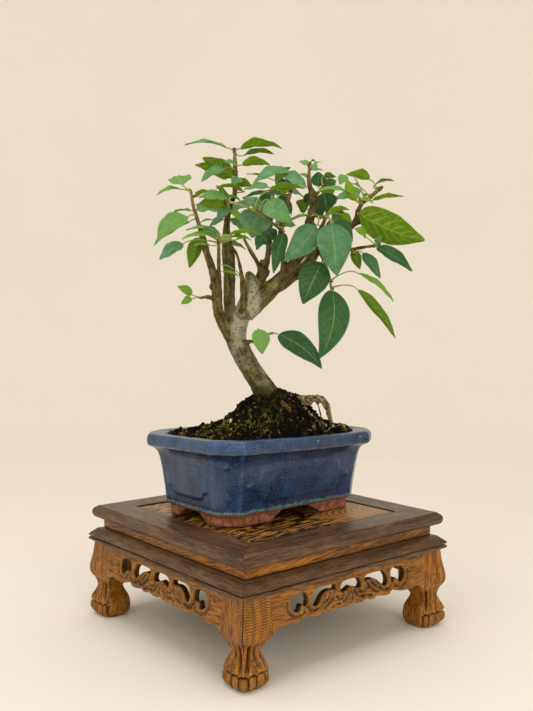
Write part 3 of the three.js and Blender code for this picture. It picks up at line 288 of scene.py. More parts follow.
RAIL_PROFILE = [
    [PANEL_HALF + GLUE_GAP, 0.5], [PANEL_HALF + GLUE_GAP + 0.5, 0], [PANEL_HALF + 2, 0],
    [PANEL_HALF + 2.8, 0], [TOP_HALF - 3, 0], [TOP_HALF - 0.9, 0],
    [TOP_HALF - 0.2, 0.2], [TOP_HALF + 0.1, 0.9], [TOP_HALF + 0.5, 1.35],
    *arc((TOP_HALF, 6.6), 3.7, 5.4, 70, -82, 16),
    [TOP_HALF - 3, RAIL_THICK - 0.1], [PANEL_HALF - 8, RAIL_THICK],
    [PANEL_HALF - 8, PANEL_DEPTH + GLUE_GAP], [PANEL_HALF + GLUE_GAP, PANEL_DEPTH + GLUE_GAP],
]
WAIST_PROFILE = [
    [WAIST_HALF - 0.3, RAIL_THICK + GLUE_GAP], [WAIST_HALF, RAIL_THICK + GLUE_GAP + 0.3],
    [WAIST_HALF, RAIL_THICK + 1.2], [WAIST_HALF, WAIST_BOTTOM - 1.4],
    [WAIST_HALF, WAIST_BOTTOM - 0.5], [WAIST_HALF - 0.3, WAIST_BOTTOM],
    [WAIST_HALF - 12, WAIST_BOTTOM], [WAIST_HALF - 12, RAIL_THICK + GLUE_GAP],
]
MOULDING_PROFILE = [
    [100, WAIST_BOTTOM + GLUE_GAP], [TOP_HALF - 0.9, WAIST_BOTTOM + GLUE_GAP],
    [TOP_HALF - 0.3, 23.1], [TOP_HALF + 1.2, 24.3], [TOP_HALF + 3.2, 26.1],
    [TOP_HALF + 5.2, 27.7], *arc((MOULDING_HALF - 1.4, 29.6), 1.4, 1.2, 60, -80, 7),
    [MOULDING_HALF - 1.7, 31.1], [MOULDING_HALF - 1.8, 31.7],
    *arc((MOULDING_HALF - 1.6, 33.6), 1.6, 1.7, 75, -50, 8),
    [MOULDING_HALF - 2.4, 35.7], [MOULDING_HALF - 3, MOULDING_BOTTOM], [100, MOULDING_BOTTOM],
]


def mitred_strip(name, profile, quarter):
    """A strip with its ends mitred for one side of the square; grain runs along it."""
    out, drop = np.array(profile).T
    share = np.linspace(-1, 1, STRIP_ROWS)[:, None]
    x = share * (out - GLUE_GAP / 2)
    points = np.stack([x, np.broadcast_to(-out, x.shape),
                       np.broadcast_to(STAND_HEIGHT - drop, x.shape)], axis=2).reshape(-1, 3)
    worn = 0.12 * lumps(points + 400 * quarter, 9) + 0.06 * lumps(points - 300 * quarter, 3)
    outside = points[:, 1] < -PANEL_HALF - 3
    points[:, 1] += np.where(outside, worn, 0)
    mesh = mesh_of(name, turned(points, quarter), capped_rings(STRIP_ROWS, len(profile)))
    # The waist's strips are cut a little across the grain, so its streaks run at a slant.
    slant = math.radians(8 if profile is WAIST_PROFILE else 0.5)
    grain = points @ np.array([[math.cos(slant), 0, -math.sin(slant)], [0, 1, 0],
                               [math.sin(slant), 0, math.cos(slant)]])
    set_attribute(mesh, "grain", grain + [310 * quarter, 70 * quarter, 23 * quarter])
    return mesh


def hold_form(mesh, which, value):
    """Gives the chosen points one form value."""
    form = np.zeros(len(mesh.vertices), np.float32)
    mesh.attributes["form"].data.foreach_get("value", form)
    form[which] = value
    mesh.attributes["form"].data.foreach_set("value", form)


def settle_form(strip, part, quarter):
    """Evens a strip's form at its mitred ends, and marks its edges in the joints round the panel
    and the waist as hollows, so they go black: painted shade in the gap by the panel and along the waist."""
    form = np.zeros(len(strip.vertices), np.float32)
    strip.attributes["form"].data.foreach_get("value", form)
    form = form.reshape(STRIP_ROWS, -1)
    form[0], form[-1] = form[1], form[-2]
    form = form.ravel()
    spots = mesh_points(strip)
    if part == "rail":
        # Painted shade: the rail's edge along the gap by the panel goes black, widest at front and back.
        form[np.abs(spots[:, :2]).max(1) < PANEL_HALF + (2.5 if quarter in (0, 2) else 0.7)] = -0.5
    if part == "waist":
        middle = STAND_HEIGHT - (RAIL_THICK + WAIST_BOTTOM) / 2
        # Painted shade: the waist's top and bottom edges go black as shadow lines against rail and
        # moulding.
        form = -0.5 * (np.abs(spots[:, 2] - middle) > 3.9).astype(np.float32)
    strip.attributes["form"].data.foreach_set("value", form)


for quarter, side in enumerate(SIDES):
    for part, profile, finish, slot in [
        ("rail", RAIL_PROFILE, dark_wood, "stand_frame"),
        ("waist", WAIST_PROFILE, streaked_wood, "stand_waist"),
        ("moulding", MOULDING_PROFILE, dark_wood, "stand_frame"),
    ]:
        strip = mitred_strip(f"{part}_{side}", profile, quarter)
        store_form(strip, 0)
        settle_form(strip, part, quarter)
        piece(f"{part}_{side}", strip, finish, slot, f"stand_{part}_{side}", sharp=30)

# ---------------------------------------------------------------- stand: top panel
# One thin board of boldly figured hardwood, sanded, its edges eased, laid loose in the
# rails' rebate. Its grain runs at a slant to the pot, in near-black and orange bands.


def figured_board():
    """Slanting flame figure: ragged dark bands over orange brown, finest along the grain."""
    material, add = new_finish("figured_hardwood_board")
    place = add("TexCoord").outputs["Object"]
    place = add("VectorMath", {0: place, "Scale": 1 / MM}, operation="SCALE")
    turn = add("Mapping", {"Vector": place, "Rotation": (0, 0, math.radians(-9))})
    swirl = add("TexNoise", {"Vector": turn, "Scale": 1 / 40, "Detail": 2})
    swirl = add("VectorMath", {0: swirl.outputs["Color"], 1: (0.5, 0.5, 0.5)}, operation="SUBTRACT")
    swirl = add("VectorMath", {0: swirl, "Scale": 11.0}, operation="SCALE")
    place = add("VectorMath", {0: turn, 1: swirl}, operation="ADD")
    flame = add("Mapping", {"Vector": place, "Scale": (1 / 12, 1 / 2.4, 1 / 20)})
    flame = add("TexNoise", {"Vector": flame, "Scale": 1, "Detail": 2, "Roughness": 0.5})
    fine = add("Mapping", {"Vector": place, "Scale": (1 / 12, 1 / 0.5, 1 / 5)})
    fine = add("TexNoise", {"Vector": fine, "Scale": 1, "Detail": 3, "Roughness": 0.6})
    mixed = add("Mix", {"Factor": 0.22, "A": flame, "B": fine}, data_type="FLOAT")
    colour = add("ValToRGB", {"Fac": mixed}, stops=[
        (0.475, "#140a03"), (0.54, "#a8722d"), (0.505, "#4e2f10"), (0.7, "#c8954b")])
    # Where the board's heart comes to the surface, the bands close into pale ovals.
    heart = add("Mapping", {"Vector": place, "Location": (-78 / 2.4, 71, 0), "Scale": (1 / 2.4, 1, 0)})
    ovals = add("TexWave", {"Vector": heart, "Scale": 0.314 / 3.6, "Distortion": 1.6, "Detail": 2,
                            "Detail Scale": 0.3}, wave_type="RINGS", rings_direction="Z")
    oval_colour = add("ValToRGB", {"Fac": ovals}, stops=[(0.15, "#76501f"), (0.55, "#b98845")])
    near = add("VectorMath", {0: heart}, operation="LENGTH").outputs["Value"]
    near = add("MapRange", {"Value": near, "From Min": 34, "From Max": 24, "To Max": 0.9})
    colour = add("Mix", {"Factor": near, "A": colour, "B": oval_colour})
    # Painted shade: the board's edges and underside go near black, so the gap round it reads dark.
    rim = add("Attribute", attribute_name="rim").outputs["Fac"]
    colour = add("Mix", {"Factor": rim, "A": colour, "B": "#0a0603"})
    relief = add("Bump", {"Height": fine, "Strength": 0.25, "Distance": 0.2 * MM})
    shader = add("BsdfPrincipled", {"Base Color": colour, "Roughness": 0.36, "Specular IOR Level": 0.4,
                                    "Normal": relief})
    add("OutputMaterial", {"Surface": shader})
    return material


PANEL_RECESS = 0.8
PANEL_PLAY = 1.1  # dark gap all round between the board and the rails
ease = 0.35
panel_rings = [
    [PANEL_HALF - PANEL_PLAY - ease, PANEL_RECESS], [PANEL_HALF - PANEL_PLAY, PANEL_RECESS + ease],
    [PANEL_HALF - PANEL_PLAY, PANEL_RECESS + 2 * ease], [PANEL_HALF, PANEL_DEPTH - 1.5],
    [PANEL_HALF - ease, PANEL_DEPTH],
]
corner_signs = np.array([[-1, -1], [1, -1], [1, 1], [-1, 1]])
PANEL_SLIP = -0.6  # the board lies nearer the front rail, so the gap behind it is the widest
panel_points = [[half * sx, half * sy + PANEL_SLIP * (half < PANEL_HALF - 1), STAND_HEIGHT - drop]
                for half, drop in panel_rings for sx, sy in corner_signs]
panel_faces = ring_faces(5, 4).tolist() + [[3, 2, 1, 0], [16, 17, 18, 19]]
panel_mesh = mesh_of("top_panel", panel_points, panel_faces)
# Painted shade: the edge and underside rings are marked to go near black in the gap round the board.
set_attribute(panel_mesh, "rim", np.repeat([0, 0, 1, 1, 1], 4))
piece("top_panel", panel_mesh, figured_board(), "stand_panel", "stand_panel", sharp=20)

# ---------------------------------------------------------------- stand: pierced aprons
# Four boards of mid-brown hardwood between the legs, sawn out in scallops, pierced with five
# openings and carved in relief with curling leaves, their edges rounded over by hand.
APRON_FACE = 121.9
APRON_THICK = 7.5  # the board is thinned from behind where it is pierced
APRON_BULGE = 3.2
APRON_HALF = 94.3  # its ends are let a little into the legs
APRON_TOP = 36.3
CUSP_DROP = 63.2
SCALLOP_DROP = 68.4
CUSPS = [0, 19.4, 31, 55.2]
END_OPENING = [
    [51.6, 50], [53, 44.6], [57, 42.6], [66, 42.6], [71.4, 45.6], [73, 50], [70.8, 55], [66, 57.8],
    [62.4, 57.6], [61.8, 54.4], [59.2, 52.4], [56.4, 53.6], [55.8, 56.4], [53.2, 54.6],
]
LEAF_OPENING = [
    [17.4, 45.4], [20.5, 42.6], [39, 42.4], [44.5, 44], [48.1, 50], [47.4, 55.4], [43.5, 57.9],
    [39.8, 55.6], [36.4, 51.2], [30.5, 47.6], [23.5, 47.2], [18.4, 48.6],
]
CENTRE_OPENING = [
    [-13.7, 50.6], [-12.6, 45.4], [-8.5, 42.5], [8.5, 42.5], [12.6, 45.4], [13.7, 50.6], [10.4, 52.8],
    [7.2, 51.4], [3.6, 50.6], [0, 48.6], [-3.6, 50.6], [-7.2, 51.4], [-10.4, 52.8],
]
# Gouge cuts of the half at +x: points [x, drop], then width and depth of the cut.
APRON_CUTS = [
    ([[20.5, 49.5], [23, 54], [28, 58], [34, 60.4]], 2.2, 1.5),
    ([[25.5, 49], [28.5, 53], [33, 56.4], [38, 58.6]], 1.8, 1.3),
    ([[31, 49.6], [34, 53], [38, 56.8]], 1.5, 1.0),
    ([[41, 60], [47, 61], [51, 58.5], [52.6, 55.5]], 2.4, 1.7),
    ([[50, 62.4], [57, 61.2], [64, 61.8], [71, 60], [75.5, 54.5], [75.8, 48.5]], 2.6, 1.1),
    ([[3.4, 52.5], [5.6, 56.5], [10, 59.6], [16, 60.4]], 2.0, 1.4),
    ([[8.8, 54], [12, 57], [16.5, 57.4], [18.8, 54]], 1.9, 1.4),
    ([[0, 50.5], [0, 56], [0, 60.4]], 1.6, 1.0),
    ([[14.6, 61.8], [19.4, 60.2], [25, 62.2]], 1.8, 1.0),
    ([[56.8, 57.6], [58.4, 60]], 1.6, 1.0),
]


def quadratic(start, control, end, steps):
    """Points on a curve from start to end, leaving out its end."""
    t = np.linspace(0, 1, steps, endpoint=False)[:, None]
    a, b, c = np.array(start, float), np.array(control, float), np.array(end, float)
    return ((1 - t) ** 2 * a + 2 * t * (1 - t) * b + t * t * c).tolist()


def soften(loop, rounds):
    """A closed loop with its corners cut off, round after round."""
    for _ in range(rounds):
        after = np.roll(loop, -1, axis=0)
        loop = np.stack([0.75 * loop + 0.25 * after, 0.25 * loop + 0.75 * after], 1).reshape(-1, 2)
    return loop


def rounded_loop(points, step):
    """A closed loop through soft corners, cut at about every step."""
    loop = soften(np.array(points, float), 3)
    reach = np.r_[0, np.cumsum(np.linalg.norm(np.roll(loop, -1, axis=0) - loop, axis=1))]
    even = np.linspace(0, reach[-1], max(8, int(reach[-1] / step)), endpoint=False)
    closed = np.vstack([loop, loop[:1]])
    return np.stack([np.interp(even, reach, closed[:, k]) for k in (0, 1)], axis=1)


def apron_outline():
    """The sawn outline as points [x, drop]."""
    straight = np.linspace(APRON_HALF, -APRON_HALF, 110)[:-1]
    points = [[x, APRON_TOP] for x in straight]
    points += [[-APRON_HALF, drop] for drop in np.linspace(APRON_TOP, 70.2, 24)[:-1]]
    points += quadratic([-APRON_HALF, 70.2], [-90, 65.4], [-84, 65.6], 12)
    points += quadratic([-84, 65.6], [-71, 69.4], [-CUSPS[3], CUSP_DROP], 20)
    cusps = [-x for x in CUSPS[::-1]] + CUSPS[1:]
    for a, b in zip(cusps, cusps[1:]):
        points += quadratic([a, CUSP_DROP], [(a + b) / 2, SCALLOP_DROP], [b, CUSP_DROP], int((b - a) / 0.9))
    points += quadratic([CUSPS[3], CUSP_DROP], [71, 69.4], [84, 65.6], 20)
    points += quadratic([84, 65.6], [90, 65.4], [APRON_HALF, 70.2], 12)
    points += [[APRON_HALF, drop] for drop in np.linspace(70.2, APRON_TOP, 24)[:-1]]
    return np.array(points)


def edge_distance(points, loops):
    """Distance from points to the nearest edge of the loops, above 0 inside the outline."""
    nearest = np.full(len(points), 1e9)
    inside = np.zeros(len(points), bool)
    for loop in loops:
        for a, b in zip(loop, np.roll(loop, -1, axis=0)):
            run = b - a
            t = np.clip(((points - a) @ run) / max(run @ run, 1e-12), 0, 1)
            nearest = np.minimum(nearest, np.hypot(*(points - a - t[:, None] * run).T))
            crosses = (a[1] > points[:, 1]) != (b[1] > points[:, 1])
            if a[1] != b[1]:
                inside ^= crosses & (points[:, 0] < a[0] + (points[:, 1] - a[1]) / run[1] * run[0])
    return np.where(inside, nearest, -nearest)


def line_distance(points, line):
    """Distance from points to an open line."""
    nearest = np.full(len(points), 1e9)
    for a, b in zip(np.array(line, float), np.array(line[1:], float)):
        run = b - a
        t = np.clip(((points - a) @ run) / (run @ run), 0, 1)
        nearest = np.minimum(nearest, np.hypot(*(points - a - t[:, None] * run).T))
    return nearest


def bulge(drop):
    """How far the boards' and legs' faces stand out at a drop below the stand's top."""
    t = np.clip((drop - 38) / 24, 0, 1)
    return APRON_BULGE * t * t * (3 - 2 * t)


def apron_relief(plan, depth_in):
    """Height of the carved face over the flat one."""
    drop = plan[:, 1]
    round_over = 2.1
    near = np.clip(1 - depth_in / round_over, 0, 1)
    low = np.clip((drop - 40) / 4, 0, 1) * np.clip((APRON_HALF - 0.5 - np.abs(plan[:, 0])) / 3.5, 0, 1)
    height = bulge(drop) - low * round_over * (1 - np.sqrt(np.maximum(0, 1 - near ** 2)))
    mirrored = np.abs(plan)
    for line, width, depth in APRON_CUTS:
        cut = np.clip(1 - line_distance(mirrored, line) / width, 0, 1)
        height -= 1.6 * depth * cut * (2 - cut)
    leafy = np.clip((drop - 50) / 6, 0, 1) * np.clip((76 - np.abs(plan[:, 0])) / 8, 0, 1)
    spots = np.column_stack([plan, np.zeros(len(plan))])
    return height + leafy * (0.75 * lumps(spots, 5, 3) + 0.4 * lumps(spots, 2.2, 4))


def carved_apron():
    """The carved board's points and faces, facing -Y, and which points lie on its sawn walls."""
    step = 0.95
    mirror = np.array([-1, 1])
    end, leaf, centre = (rounded_loop(loop, step) for loop in (END_OPENING, LEAF_OPENING, CENTRE_OPENING))
    loops = [apron_outline(), end, end * mirror, leaf, leaf * mirror, centre]
    across = np.arange(-APRON_HALF + 0.6, APRON_HALF, step)
    down = np.arange(APRON_TOP + 0.6, 72, 0.85)
    grid = np.array([[x + 0.5 * (k % 2), drop] for k, drop in enumerate(down) for x in across])
    grid = grid[edge_distance(grid, loops) > 0.5]
    plan = np.vstack(loops + [grid])
    edges = []
    start = 0
    for loop in loops:
        edges += [(start + k, start + (k + 1) % len(loop)) for k in range(len(loop))]
        start += len(loop)
    cut = delaunay_2d_cdt([Vector(p) for p in plan], edges, [], 0, 1e-5)
    plan = np.array([list(p) for p in cut[0]])
    depth_in = edge_distance(plan, loops)
    faces = np.array(cut[2])
    centres = plan[faces].mean(1)
    faces = faces[edge_distance(centres, loops) > 0]
    count = len(plan)
    front = np.column_stack([plan[:, 0], -APRON_FACE - apron_relief(plan, np.maximum(depth_in, 0)),
                             STAND_HEIGHT - plan[:, 1]])
    back = np.column_stack([plan[:, 0], -APRON_FACE - bulge(plan[:, 1]) + APRON_THICK,
                            STAND_HEIGHT - plan[:, 1]])
    sides = np.sort(faces[:, [[0, 1], [1, 2], [2, 0]]].reshape(-1, 2), axis=1)
    keys, times = np.unique(sides, axis=0, return_counts=True)
    rim = keys[times == 1]
    edge = np.unique(rim)
    ring = np.full(count, -1)
    ring[edge] = 2 * count + np.arange(len(edge))
    walls = [[a, b, ring[b], ring[a]] for a, b in rim]
    walls += [[ring[a], ring[b], b + count, a + count] for a, b in rim]
    inner = front[edge] + [0, 0.9, 0]  # just inside the face's edges, where the sawn walls begin
    points = np.vstack([front, back, inner])
    sawn = np.isin(np.arange(len(points)), np.append(ring[edge], edge + count))
    return points, faces.tolist() + (faces[:, ::-1] + count).tolist() + walls, sawn


carved_wood = hardwood("carved_mid_hardwood", "#ab6e14", "#774606", "#2b1400", 5, 1.1, 0.75, 0.42, 2)
apron_points, apron_faces, sawn = carved_apron()
for quarter, side in enumerate(SIDES):
    apron_mesh = mesh_of(f"apron_{side}", turned(apron_points, quarter), apron_faces)
    set_attribute(apron_mesh, "grain", apron_points + [270 * quarter + 40, 90 * quarter, 31 * quarter])
    store_form(apron_mesh)
    hold_form(apron_mesh, sawn, -0.13)  # painted shade on the openings' walls, and the stain stays thick on end grain
    piece(f"apron_{side}", apron_mesh, carved_wood, "stand_carved", f"stand_apron_{side}", sharp=50)

# ---------------------------------------------------------------- stand: carved legs
# Four legs of the same wood, each cut from one square block: plain above, with a knee, then
# a fluted ankle that spreads into a paw with five clawed toes. They are glued under the
# mouldings and to the aprons' ends.
# Rings of a leg: [height, outer half, inner half, squareness].
LEG_RINGS = np.array([
    [0, 122.4, 99.4, 3.6], [1.2, 124.8, 97.6, 3.8], [3.5, 126.8, 96.1, 4], [7, 127.9, 95.2, 4.2],
    [10.5, 128.1, 95, 4.2], [13.6, 127.5, 95.4, 4.2], [17, 127.3, 95.9, 4.2], [20.5, 125.9, 97.1, 4.2],
    [24, 123.6, 99.2, 4.4], [29.5, 121.4, 102, 5], [34.5, 122, 99.2, 7.5], [38, 123.4, 95.2, 16],
    [41, 124.5, 93.8, 26], [45, 125.2, 94, 24], [50, 125.1, 94, 30], [56, 124.2, 94, 30],
    [65, 123, 94, 30], [STAND_HEIGHT - MOULDING_BOTTOM - GLUE_GAP, 122.2, 94, 30],
])
FLUTES = [0.24, 0.52, 0.8]  # how far round each outer face its grooves lie, from the corner
TOES = [(0.0, 0.2), (0.34, 0.14), (0.63, 0.15), (0.92, 0.14)]  # each toe's middle and half width
TOE_LINE = 13.4  # height of the crease over the toes
LEG_MIDDLE = 110.5  # how far a leg's middle stands from the stand's, each way


def smooth_step(values, start, end):
    """0 up to start, 1 from end on, and a soft rise between."""
    t = np.clip((values - start) / (end - start), 0, 1)
    return t * t * (3 - 2 * t)


def groove(distance, width):
    """A round-bottomed groove's depth share at a distance from its middle."""
    return np.clip(1 - (distance / width) ** 2, 0, 1)


def leg_points(rows, around):
    """Rings of points of one leg, at its place under the corner at -X -Y."""
    heights = LEG_RINGS[-1, 0] * np.linspace(0, 1, rows)
    values = [np.interp(heights, LEG_RINGS[:, 0], LEG_RINGS[:, k]) for k in (1, 2, 3)]
    kernel = np.array([1, 2, 3, 2, 1]) / 9
    for k in (0, 1):
        padded = np.pad(values[k], 2, mode="edge")
        values[k] = np.convolve(padded, kernel, mode="valid")
    outer, inner, square = (v[:, None] for v in values)
    heights = heights[:, None]
    # Even steps round a square from its outer corner; side runs -1..1 over the two outer
    # faces and past them over the inner ones.
    side = np.linspace(-2, 2, around, endpoint=False)[None, :]
    ex = np.clip(2 * np.maximum(side, 0) - 1, -1, 1)
    ey = np.clip(2 * np.maximum(-side, 0) - 1, -1, 1)
    qx = np.where(side >= 0, np.where(side <= 1, ex, 1), np.where(side < -1, 2 * (-side - 1) - 1, -1))
    qy = np.where(side < 0, np.where(side >= -1, ey, 1), np.where(side > 1, 2 * (side - 1) - 1, -1))
    reach = (np.abs(qx) ** square + np.abs(qy) ** square) ** (-1 / square)
    ridge = np.exp(-(side / 0.1) ** 2)
    reach = reach * (1 + 0.05 * ridge * smooth_step(square, 16, 5))
    knee = smooth_step(heights, 36, 44) * (1 - 0.5 * smooth_step(heights, 48, 70))
    corner = smooth_step(np.abs(side), 0.95, 0) * smooth_step(heights, 0, 6)
    reach = reach * (1 + (0.06 + 0.1 * knee) * corner)
    outside = smooth_step(np.abs(side), 1.25, 0.95)
    cut = np.zeros_like(reach)
    ankle = smooth_step(heights, 15, 21) * smooth_step(heights, 40, 34)
    for place in FLUTES:
        drift = place + 0.1 * (1 - smooth_step(heights, 16, 34)) * np.sign(place - 0.5)
        top = smooth_step(heights, 43 - 6 * place, 36 - 6 * place)
        width = 0.045 + 0.065 * top
        cut += 3.6 * ankle * np.sqrt(top) * groove(np.abs(side) - drift, width)
    toes = smooth_step(heights, TOE_LINE, TOE_LINE - 1.6) * smooth_step(heights, -1, 1.5)
    arch = np.max([np.sqrt(groove(np.abs(side) - place, half)) for place, half in TOES], axis=0)
    arch = arch * np.ones_like(heights)
    cut += 3.3 * toes * (1 - arch) + 1.5 * toes * (1 - np.sqrt(groove(heights - 7, 8)))
    knuckles = smooth_step(heights, 23, 17) * smooth_step(heights, TOE_LINE, TOE_LINE + 1.5)
    cut += 1.6 * knuckles * (1 - arch)
    toe_line = TOE_LINE - 1.8 + 2.6 * arch
    cut += 2.1 * groove(heights - toe_line, 1.25)
    middle = (outer + inner) / 2
    half = (outer - inner) / 2 - cut * outside
    x = -middle + half * reach * qx
    y = -middle + half * reach * qy
    return np.stack([x, y, np.broadcast_to(heights, x.shape)], axis=2)


LEG_ROWS, LEG_AROUND = 114, 124
leg_rest = leg_points(LEG_ROWS, LEG_AROUND).reshape(-1, 3)
hand = smooth_step(leg_rest[:, 2], 44, 36)
rough_cut = 0.22 * lumps(leg_rest, 2.4, 11) + 0.12 * lumps(leg_rest, 1.2, 12)
radial = leg_rest[:, :2] + LEG_MIDDLE
radial /= np.maximum(np.linalg.norm(radial, axis=1, keepdims=True), 1e-6)
leg_rest[:, :2] += radial * (rough_cut * hand)[:, None]
leg_faces = ring_faces(LEG_ROWS, LEG_AROUND).tolist()
leg_top = (LEG_ROWS - 1) * LEG_AROUND
leg_faces += [list(range(LEG_AROUND))[::-1], list(range(leg_top, leg_top + LEG_AROUND))]


carved_leg_wood = hardwood("carved_leg_hardwood", "#b37412", "#7e4b06", "#2c1400", 4.5, 1.0, 0.72, 0.42, 2,
                           figured=True)
# The flat face of the front leg, which alone is figured: its upper part, away from the edges.
x, y, z = leg_rest.T
flat_face = smooth_step(z, 38, 46) * smooth_step(y + 0.12 * (x + 110), -118, -121)
flat_face = flat_face * smooth_step(x, -126.5, -124.5)
for quarter, side in enumerate(SIDES):
    leg_mesh = mesh_of(f"leg_{side}", turned(leg_rest, quarter), leg_faces)
    grain = leg_rest[:, [2, 0, 1]] + [0, 140 * quarter, 60 * quarter]
    set_attribute(leg_mesh, "grain", grain)
    set_attribute(leg_mesh, "flat_face", (quarter == 0) * flat_face)
    store_form(leg_mesh)
    # A painted shade line down the outer corner of the upper leg.
    corner = np.arange(len(leg_rest)) % LEG_AROUND == LEG_AROUND // 2
    hold_form(leg_mesh, corner & (leg_rest[:, 2] > 33), -0.4)
    piece(f"leg_{side}", leg_mesh, carved_leg_wood, "stand_carved", f"stand_leg_{side}", sharp=48)

# ---------------------------------------------------------------- pot
# One pressed and fired stoneware body: an eight-sided bowl with a rolled lip and a raised
# cartouche on each side. Thick blue glaze stops in a crusty line above four bare clay feet,
# and two drainage holes go through the floor.
POT_CENTRE = np.array([1.6, 7.2])
POT_BASE = STAND_HEIGHT - PANEL_RECESS + GLUE_GAP
POT_RIM = np.array([102.4, 74.8, 23.6])  # half length, half depth, how much each corner is cut
POT_FOOT = np.array([87.3, 56.3, 16.9])
FOOT_HEIGHT = 10.5
FOOT_WALL = 14
FOOT_INSET = 3
FEET_VOXEL = 1.0  # grid on which the feet are joined and worn round
LONG_ARCH = [30.5, 18.5]  # half width of the opening at the bottom and at the top
SHORT_ARCH = [22.5, 12.2]
INNER_RIM = np.array([87.4, 59.8, 17.5])
INNER_FLOOR = np.array([79.5, 48.5, 13.5])
INNER_RIM_HEIGHT = 76.5
FLOOR_TOP = 19
DRAIN_RADIUS = 9
DRAIN_OFFSET = 40
# Outer profile: [height over the feet, how far from foot size (0) to rim size (1)].
POT_PROFILE = np.array([
    [FOOT_HEIGHT, -0.07], [11.2, -0.035], [12.6, 0], [24.5, 0.06], [34.5, 0.14], [44.5, 0.23],
    [54.5, 0.34], [59.5, 0.43], [62.5, 0.53], [64.3, 0.66], [65.4, 0.76], [65.9, 0.86],
    [66.6, 0.95], [68.2, 0.985], [70.5, 1], [72.5, 1], [75, 0.99], [76.7, 0.955], [77.9, 0.885],
    [78.6, 0.77], [78.7, 0.66], [78.4, 0.54],
])
CARTOUCHE_PROUD = 1.7
# Cartouches on the long and the short sides: half length, low and high edge over the feet, notch.
CARTOUCHES = [(65, 11, 43, 14), (33, 12.5, 43, 8.5)]
# Lumps under the glaze: centre from the pot's middle, how proud, how wide.
LUMPS = [((-84.5, -53.5, 54.6), 2.6, 2.2), ((-79.5, -50, 26.5), 0.9, 3.2), ((-84, -41, 49), 0.7, 5)]


def eight_sides(size, bow=0.0):
    """The pot's plan at a size: twelve corners, each cut side bowed out a little."""
    length, depth, cut = size
    corners = []
    for sx, sy in [(1, 1), (-1, 1), (-1, -1), (1, -1)]:
        ends = [(sx * length, sy * (depth - cut)), (sx * (length - cut), sy * depth)]
        first, last = ends if sx * sy > 0 else ends[::-1]
        out = bow * cut / 2
        middle = ((first[0] + last[0]) / 2 + sx * out, (first[1] + last[1]) / 2 + sy * out)
        corners += [first, middle, last]
    return np.array(corners)


def soft_ring(size, height, bow=0.16, long_cuts=44, short_cuts=34, soft=2.4):
    """A ring of points round the plan with its corners softly rounded."""
    corners = eight_sides(size, bow)
    ring = []
    for k, (a, b) in enumerate(zip(corners, np.roll(corners, -1, axis=0))):
        span = np.linalg.norm(b - a)
        if k % 3 != 2:
            shares = np.linspace(0, 1, 5, endpoint=False)
        else:
            cuts = long_cuts if abs(b[0] - a[0]) > abs(b[1] - a[1]) else short_cuts
            near = min(soft / span, 0.2)
            shares = np.r_[0, np.linspace(near, 1 - near, cuts)]
        ring += [a + (b - a) * t for t in shares]
    ring = soften(np.array(ring), 2)
    ring = ring[::2] * 0.5 + ring[1::2] * 0.5
    return np.column_stack([ring, np.full(len(ring), height)])


def cartouche_outline(half, low, high, notch):
    """A panel's outline [along, height] with stepped-in corners."""
    low, high = low + FOOT_HEIGHT, high + FOOT_HEIGHT
    corner = [[2, 0], [1.4, 0.06], [1.12, 0.3], [1, 0.7], [0.62, 0.86], [0.2, 0.93], [0, 1.2]]
    bottom = [[half - inward * notch, low + rise * notch] for inward, rise in corner]
    top = [[half - inward * notch, high - rise * notch] for inward, rise in corner[::-1]]
    right = bottom + top
    return np.array(right + [[-x, z] for x, z in right[::-1]])


def cartouche_depth(points):
    """Distance in from the edge of the nearest cartouche, below 0 outside it."""
    x, y, z = points.T
    depth = np.full(len(points), -9.0)
    wall = (z > FOOT_HEIGHT + 1) & (z < 62)
    for along, across, least, cartouche in [(x, y, POT_FOOT[1] - 4, CARTOUCHES[0]),
                                            (y, x, POT_FOOT[0] - 4, CARTOUCHES[1])]:
        side = wall & (np.abs(across) > least) & (np.abs(along) < cartouche[0] + 6)
        depth[side] = edge_distance(np.column_stack([along, z])[side], [cartouche_outline(*cartouche)])
    return depth


def raised_by(points):
    """How far the glazed wall stands out from its plain form."""
    z = points[:, 2]
    proud = CARTOUCHE_PROUD * smooth_step(cartouche_depth(points), -0.5, 0.8)
    shallow = smooth_step(np.abs(points[:, 0]), POT_FOOT[0] - 5, POT_FOOT[0] - 4) * smooth_step(z, 26, 38)
    proud *= 1 - 0.75 * shallow
    for centre, height, width in LUMPS:
        away = np.linalg.norm(points - centre, axis=1)
        proud += height * np.exp(-(away / width) ** 2)
    flow = smooth_step(z, 12, 40)
    streaks = points * [1, 1, 0.25]
    proud += 0.16 * lumps(streaks, 7, 21) * flow + 0.25 * lumps(points, 24, 22)
    crust = np.exp(-((z - 12.6 - 0.9 * lumps(points * [1, 1, 0], 9, 23)) / 1.1) ** 2)
    proud += 0.4 * crust * (0.7 + 0.6 * lumps(points, 2.2, 24)) + 0.07 * lumps(points, 2.4, 26)
    return proud


def warp(x, y):
    """How far the lip rose over its near corner in the firing."""
    return 3.6 * np.exp(-((x + 84) ** 2 + (y + 56) ** 2) / 82 ** 2)


